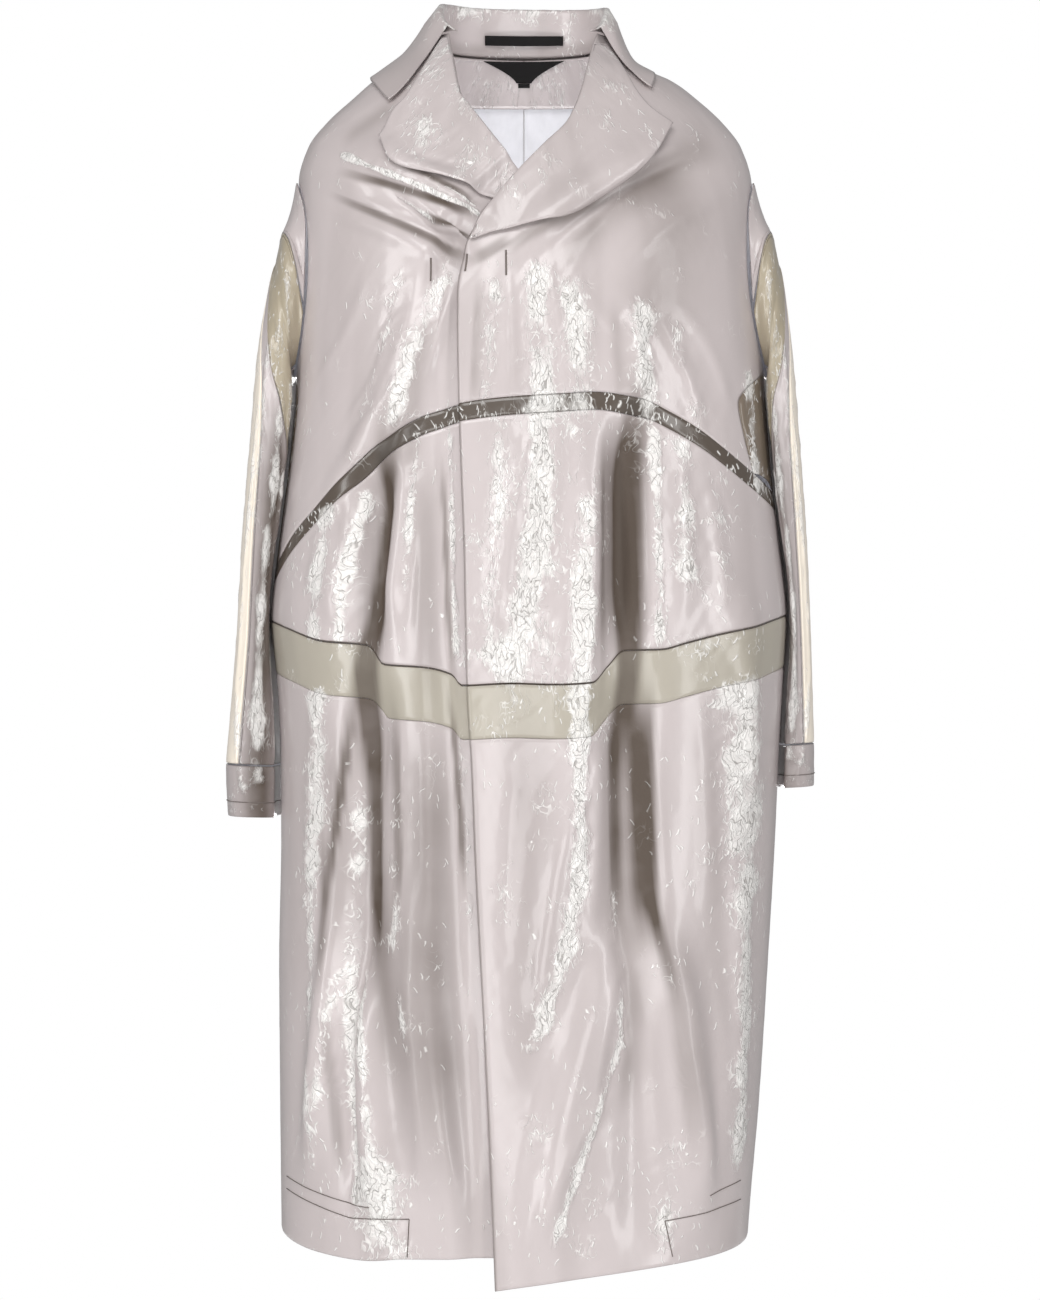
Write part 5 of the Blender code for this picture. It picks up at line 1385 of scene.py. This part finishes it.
def sleeve_point(along, ring, side, table):
    """A sleeve's point: along it from the armhole (0) to the cuff's end (1), and round it in degrees.

    The ring is a flattened oval. Near the armhole it lies on the coat's side; below, it hangs clear of it.
    """
    outer_x, outer_z, inner_x, inner_z, middle, depth = sleeve_ring(along, table)
    swing, sweep = fuller(np.cos(np.radians(ring))), fuller(np.sin(np.radians(ring)))
    x = (outer_x + inner_x) / 2 - (outer_x - inner_x) / 2 * swing
    z = (outer_z + inner_z) / 2 - (outer_z - inner_z) / 2 * swing
    leave = np.sin(np.clip(along / SLEEVE_HEAD, 0, 1) * math.pi / 2)
    y = middle - (depth + SLEEVE_STAND * leave) * sweep
    start = 1 - leave
    clear = SLEEVE_CLEAR * leave + SLEEVE_LAP * start
    stand = SLEEVE_STAND * leave * (1 - ease(along / SLEEVE_STAND_END)) * sweep ** 2
    body = side_reach(y, z, side) + clear + stand
    larger = (x + body + np.sqrt((x - body) ** 2 + SLEEVE_BLEND ** 2)) / 2
    return np.stack((side * (body * start + (1 - start) * larger), y, z), axis=-1)


def relaxed(points):
    """A grid with every inner point moved halfway to the mean of its four neighbours."""
    eased = points.copy()
    around = points[2:, 1:-1] + points[:-2, 1:-1] + points[1:-1, 2:] + points[1:-1, :-2]
    eased[1:-1, 1:-1] = points[1:-1, 1:-1] / 2 + around / 8
    return eased


def finer(points, shares, axis):
    """Points of a coarse grid read at finer shares along one axis: a cubic through each four neighbours."""
    points = np.moveaxis(points, axis, 0)
    count = len(points)
    padded = np.concatenate((2 * points[:1] - points[1:2], points, 2 * points[-1:] - points[-2:-1]))
    at = shares * (count - 1)
    i = np.clip(np.floor(at).astype(int), 0, count - 2)
    t = (at - i).reshape((-1,) + (1,) * (points.ndim - 1))
    a, b, c, d = padded[i], padded[i + 1], padded[i + 2], padded[i + 3]
    curve = b + 0.5 * t * (c - a + t * (2 * a - 5 * b + 4 * c - d + t * (3 * (b - c) + d - a)))
    return np.moveaxis(curve, 0, axis)


def sleeve_cloth(ring, along):
    """Flat coordinates of a sleeve's points."""
    return np.stack((ring * RING_LENGTH * MM, along * SLEEVE_LENGTH), axis=-1)


def sleeve_creases(ring, along):
    """Height of a sleeve's creases, each a bell across its own line, and how crumpled the film is on them."""
    relief = np.zeros_like(along)
    crumple = np.full_like(along, SLEEVE_CRUMPLE)
    for ring_a, along_a, ring_b, along_b, half, rise in SLEEVE_CREASES:
        t = np.clip((along - along_a) / (along_b - along_a), 0, 1)
        lean = ring_a + (ring_b - ring_a) * t
        off = (np.mod(ring - lean + 180, 360) - 180) * RING_LENGTH
        fade = ease((along - along_a + CREASE_FADE) / 0.15) * ease((along_b + CREASE_FADE - along) / 0.15)
        bell = np.exp(-(off / half) ** 2) * fade
        relief = relief + rise * MM * bell
        crumple = np.maximum(crumple, CREASE_CRUMPLE * np.exp(-(off / (1.6 * half)) ** 2) * fade)
    return relief, crumple


def sleeve_piece(name, slot, plain, along, ring, side, table, closed=False):
    """A piece of a sleeve: its plain form, with creases along it and a crumpled relief."""
    sizes = bpy.context.scene.raincoat_sizes
    outer_x, outer_z, inner_x, inner_z, middle, _ = sleeve_ring(along, table)
    centre = np.stack((side * (outer_x + inner_x) / 2, middle, (outer_z + inner_z) / 2), axis=-1)
    away = plain - centre
    cloth = sleeve_cloth(ring, along)
    relief, crumple = sleeve_creases(ring, along)
    relief += sizes.crumple_height * crumple * crinkle_relief(cloth[..., 0] + side * 0.7, cloth[..., 1])
    distance = edge_distances(plain, closed)
    relief = relief * ease(distance / EDGE_CALM) * ease(along / HEAD_CALM)
    relief -= sizes.seam_depth * SLEEVE_SEAM * (1 - ease(distance / sizes.seam_run))
    points = relieved(plain, relief, away)
    if closed:
        points[-1] = points[0]
    seams = (0.0, 0.0, 0.4, 0.0) if closed else (0.3, 0.3, 0.15, 0.4)
    # Painted shade down the front of the lower sleeve.
    off = (np.mod(ring, 360) - SLEEVE_SHADE_AT) / SLEEVE_SHADE_HALF
    fold = SLEEVE_SHADES[side] * np.exp(-off ** 2) * ease((along - 0.3) / 0.2)
    masks = {"crumple": crumple, "fold": fold, "seam": seam_shade(plain, seams)}
    return grid_object(name + "_cloth", points, cloth, masks, (slot, "white_inside"), sizes.cloth, closed,
                       away)


class RAINCOAT_OT_sleeves(bpy.types.Operator):
    """Sleeves: insert at the top of the front, front, outer strip, back with the cap, and cuff"""
    bl_idname = "raincoat.sleeves"
    bl_label = "Sleeves"

    def execute(self, context):
        for side, word, table in ((1, "left", SLEEVE_LEFT), (-1, "right", SLEEVE_RIGHT)):
            build_sleeve(side, word, table)
        return {"FINISHED"}


def build_sleeve(side, word, table):
    """One sleeve: its four long pieces, whose coarse form is read finely, and its cuff."""
    along, insert_end, strip_start, back_start = np.array(SLEEVE_SEAMS, dtype=float).T
    gap = SLEEVE_GAP + SLEEVE_HEAD_GAP * (1 - ease(along / SLEEVE_HEAD))
    inner = np.full_like(along, INNER_SEAM)
    cap_end = np.full_like(along, CAP_END)
    # Name, side edges, coarse columns between them, rows of the table, fine columns, fine lines and slot.
    pieces = (
        ("insert", (inner + gap, insert_end - gap), (6,), slice(0, INSERT_ROWS), 40, 90, "khaki_cloth"),
        ("front", (insert_end + gap, strip_start - gap), (5,), slice(FRONT_ROW, None), 36, 130, "film_cloth"),
        ("strip", (strip_start + gap, back_start - gap), (4,), slice(STRIP_ROW, None), 36, 130, "cream_film"),
        ("back", (back_start + gap, cap_end, inner + 360 - gap), (4, 8), slice(0, None), 72, 160,
         "film_cloth"),
    )
    for name, edges, columns, rows_used, fine_columns, fine_lines, slot in pieces:
        ring = shared_out([edge[rows_used] for edge in edges], columns)
        lines = along[rows_used] + np.zeros_like(ring)
        coarse = relaxed(sleeve_point(lines, ring, side, table))
        values = np.concatenate((coarse, lines[..., None], ring[..., None]), axis=-1)
        values = finer(finer(values, seam_spread(fine_columns, 0.08), 0), seam_spread(fine_lines, 0.5), 1)
        node, points = f"sleeve_{name}_{word}", values[..., :3]
        piece = sleeve_piece(node, slot, points, values[..., 3], values[..., 4], side, table)
        dress(piece, node)
    build_cuff(side, word, table, along[-1] + CUFF_GAP)


def build_cuff(side, word, table, first):
    """A cuff: a closed ring from first to the sleeve's end, with the thread sewn round it."""
    ring = np.linspace(0, 360, CUFF_COLUMNS)[:, None]
    along = first + (1 - first) * seam_spread(12, 0.05)[None, :] + 0 * ring
    points = sleeve_point(along, ring + 0 * along, side, table)
    piece = sleeve_piece(f"cuff_{word}", "film_cloth", points, along, ring + 0 * along, side, table, True)
    thread = cuff_thread(f"cuff_{word}_stitching", ring, side, table)
    dress(piece, f"cuff_{word}")


def cuff_thread(name, ring, side, table):
    """The thread sewn round a cuff, low and half round."""
    width = np.linspace(-1, 1, 5)[None, :] + 0 * ring
    ring = ring + 0 * width
    along = CUFF_STITCHES + width * STITCH_HALF
    path = sleeve_point(along, ring, side, table)
    away = path - path.mean(axis=0, keepdims=True)
    path = relieved(path, THREAD_LIFT * MM + CUFF_THREAD_RISE * np.cos(width * math.pi / 2), away)
    path[-1] = path[0]
    thread = grid_object(name, path, sleeve_cloth(ring, along), {}, ("thread",), THREAD_WALL, True, away)
    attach(thread, "root")
    return thread


# ---------------------------------------------------------------------------------------------------------
# Stage


# Soft boxes: where each is, what it looks at, its width, height and power.
COAT_MIDDLE = (0, 0, -0.55)
LIGHTS = {"front": ((-0.5, -3.3, 1.7), COAT_MIDDLE, 2.0, 1.6, 59),
          "low": ((0.2, -3.9, -1.0), COAT_MIDDLE, 1.8, 1.0, 27),
          "key_left": ((-2.3, -2.4, -0.2), COAT_MIDDLE, 0.6, 2.6, 33),
          "key_right": ((2.4, -2.2, -0.3), COAT_MIDDLE, 0.5, 2.6, 26),
          "rear": ((0, 2.8, -0.6), COAT_MIDDLE, 0.5, 1.1, 26),
          "neck": ((0, -0.09, -0.15), (0, 0.12, 0), 0.14, 0.05, 0.24)}
ROOM_LIGHT = 0.30           # strength of the light from all round


def area_light(name, place_at, look_at, width, height, power):
    """A soft box that looks at a point."""
    light = bpy.data.lights.new(name, "AREA")
    light.shape = "RECTANGLE"
    light.size, light.size_y = width, height
    light.energy = power
    made = bpy.data.objects.new(name, light)
    bpy.context.scene.collection.objects.link(made)
    made.location = place_at
    away = np.subtract(look_at, place_at)
    tilt = math.acos(-away[2] / np.linalg.norm(away))
    made.rotation_euler = (tilt, 0, math.atan2(away[1], away[0]) - math.pi / 2)


def build_floor(stage):
    """The pale floor under the coat."""
    half = stage.floor_side / 2
    mesh = bpy.data.meshes.new("floor")
    corners = [(x * half, y * half, stage.floor_height) for x, y in ((-1, -1), (1, -1), (1, 1), (-1, 1))]
    mesh.from_pydata(corners, [], [(0, 1, 2, 3)])
    floor = bpy.data.objects.new("floor", mesh)
    bpy.context.scene.collection.objects.link(floor)
    pale = bpy.data.materials.new("pale_floor")
    pale.use_nodes = True
    tree = pale.node_tree
    where = place(tree, "TexCoord").outputs["Object"]
    specks = place(tree, "TexNoise", {"Vector": where, "Scale": 3.0}).outputs["Fac"]
    colour = mixed(tree, specks, (0.90, 0.90, 0.90, 1), (0.87, 0.87, 0.87, 1))
    fill(tree, tree.nodes["Principled BSDF"], {"Base Color": colour, "Roughness": 0.8})
    mesh.materials.append(pale)


def build_studio():
    """White all round: it lights the coat softly, and the camera sees it at full strength."""
    world = bpy.data.worlds.new("studio")
    bpy.context.scene.world = world
    world.use_nodes = True
    tree = world.node_tree
    room = fill(tree, tree.nodes["Background"], {"Color": (1, 1, 1, 1), "Strength": ROOM_LIGHT})
    backdrop = place(tree, "Background", {"Color": (1, 1, 1, 1), "Strength": 1.0})
    seen = place(tree, "LightPath").outputs["Is Camera Ray"]
    both = place(tree, "MixShader", {0: seen, 1: room.outputs[0], 2: backdrop.outputs[0]})
    fill(tree, tree.nodes["World Output"], {"Surface": both.outputs[0]})


class RAINCOAT_OT_stage(bpy.types.Operator):
    """Pale floor, soft studio light and the camera"""
    bl_idname = "raincoat.stage"
    bl_label = "Stage"

    def execute(self, context):
        scene = context.scene
        stage = scene.raincoat_stage
        build_floor(stage)
        build_studio()
        for name, values in LIGHTS.items():
            area_light(name, *values)
        camera = bpy.data.objects.new("camera", bpy.data.cameras.new("camera"))
        scene.collection.objects.link(camera)
        camera.data.lens = stage.lens
        camera.data.sensor_width = 36
        camera.location = (-0.004, -stage.distance, stage.eye)
        camera.rotation_euler = (math.pi / 2, 0, 0)
        scene.camera = camera
        scene.view_settings.view_transform = "Standard"
        return {"FINISHED"}


class RAINCOAT_PT_pieces(bpy.types.Panel):
    """The raincoat's pieces and settings"""
    bl_idname = "RAINCOAT_PT_pieces"
    bl_label = "Raincoat"
    bl_space_type = "VIEW_3D"
    bl_region_type = "UI"
    bl_category = "Raincoat"

    def draw(self, context):
        for operator in OPERATORS:
            self.layout.operator(operator.bl_idname)
        scene = context.scene
        for group in (scene.raincoat_sizes, scene.raincoat_colours, scene.raincoat_stage):
            box = self.layout.box()
            for name in group.__annotations__:
                box.prop(group, name)


OPERATORS = (RAINCOAT_OT_fronts, RAINCOAT_OT_backs, RAINCOAT_OT_lapels, RAINCOAT_OT_collar,
             RAINCOAT_OT_neck_trims, RAINCOAT_OT_sleeves, RAINCOAT_OT_stage)
CLASSES = (RaincoatSizes, RaincoatColours, RaincoatStage, *OPERATORS, RAINCOAT_PT_pieces)


def register():
    for made in CLASSES:
        bpy.utils.register_class(made)
    bpy.types.Scene.raincoat_sizes = bpy.props.PointerProperty(type=RaincoatSizes)
    bpy.types.Scene.raincoat_colours = bpy.props.PointerProperty(type=RaincoatColours)
    bpy.types.Scene.raincoat_stage = bpy.props.PointerProperty(type=RaincoatStage)


def unregister():
    del bpy.types.Scene.raincoat_sizes
    del bpy.types.Scene.raincoat_colours
    del bpy.types.Scene.raincoat_stage
    for made in reversed(CLASSES):
        bpy.utils.unregister_class(made)


def main():
    register()
    bpy.ops.raincoat.fronts()
    bpy.ops.raincoat.backs()
    bpy.ops.raincoat.lapels()
    bpy.ops.raincoat.collar()
    bpy.ops.raincoat.neck_trims()
    bpy.ops.raincoat.sleeves()
    bpy.ops.raincoat.stage()


if __name__ == "__main__":
    main()
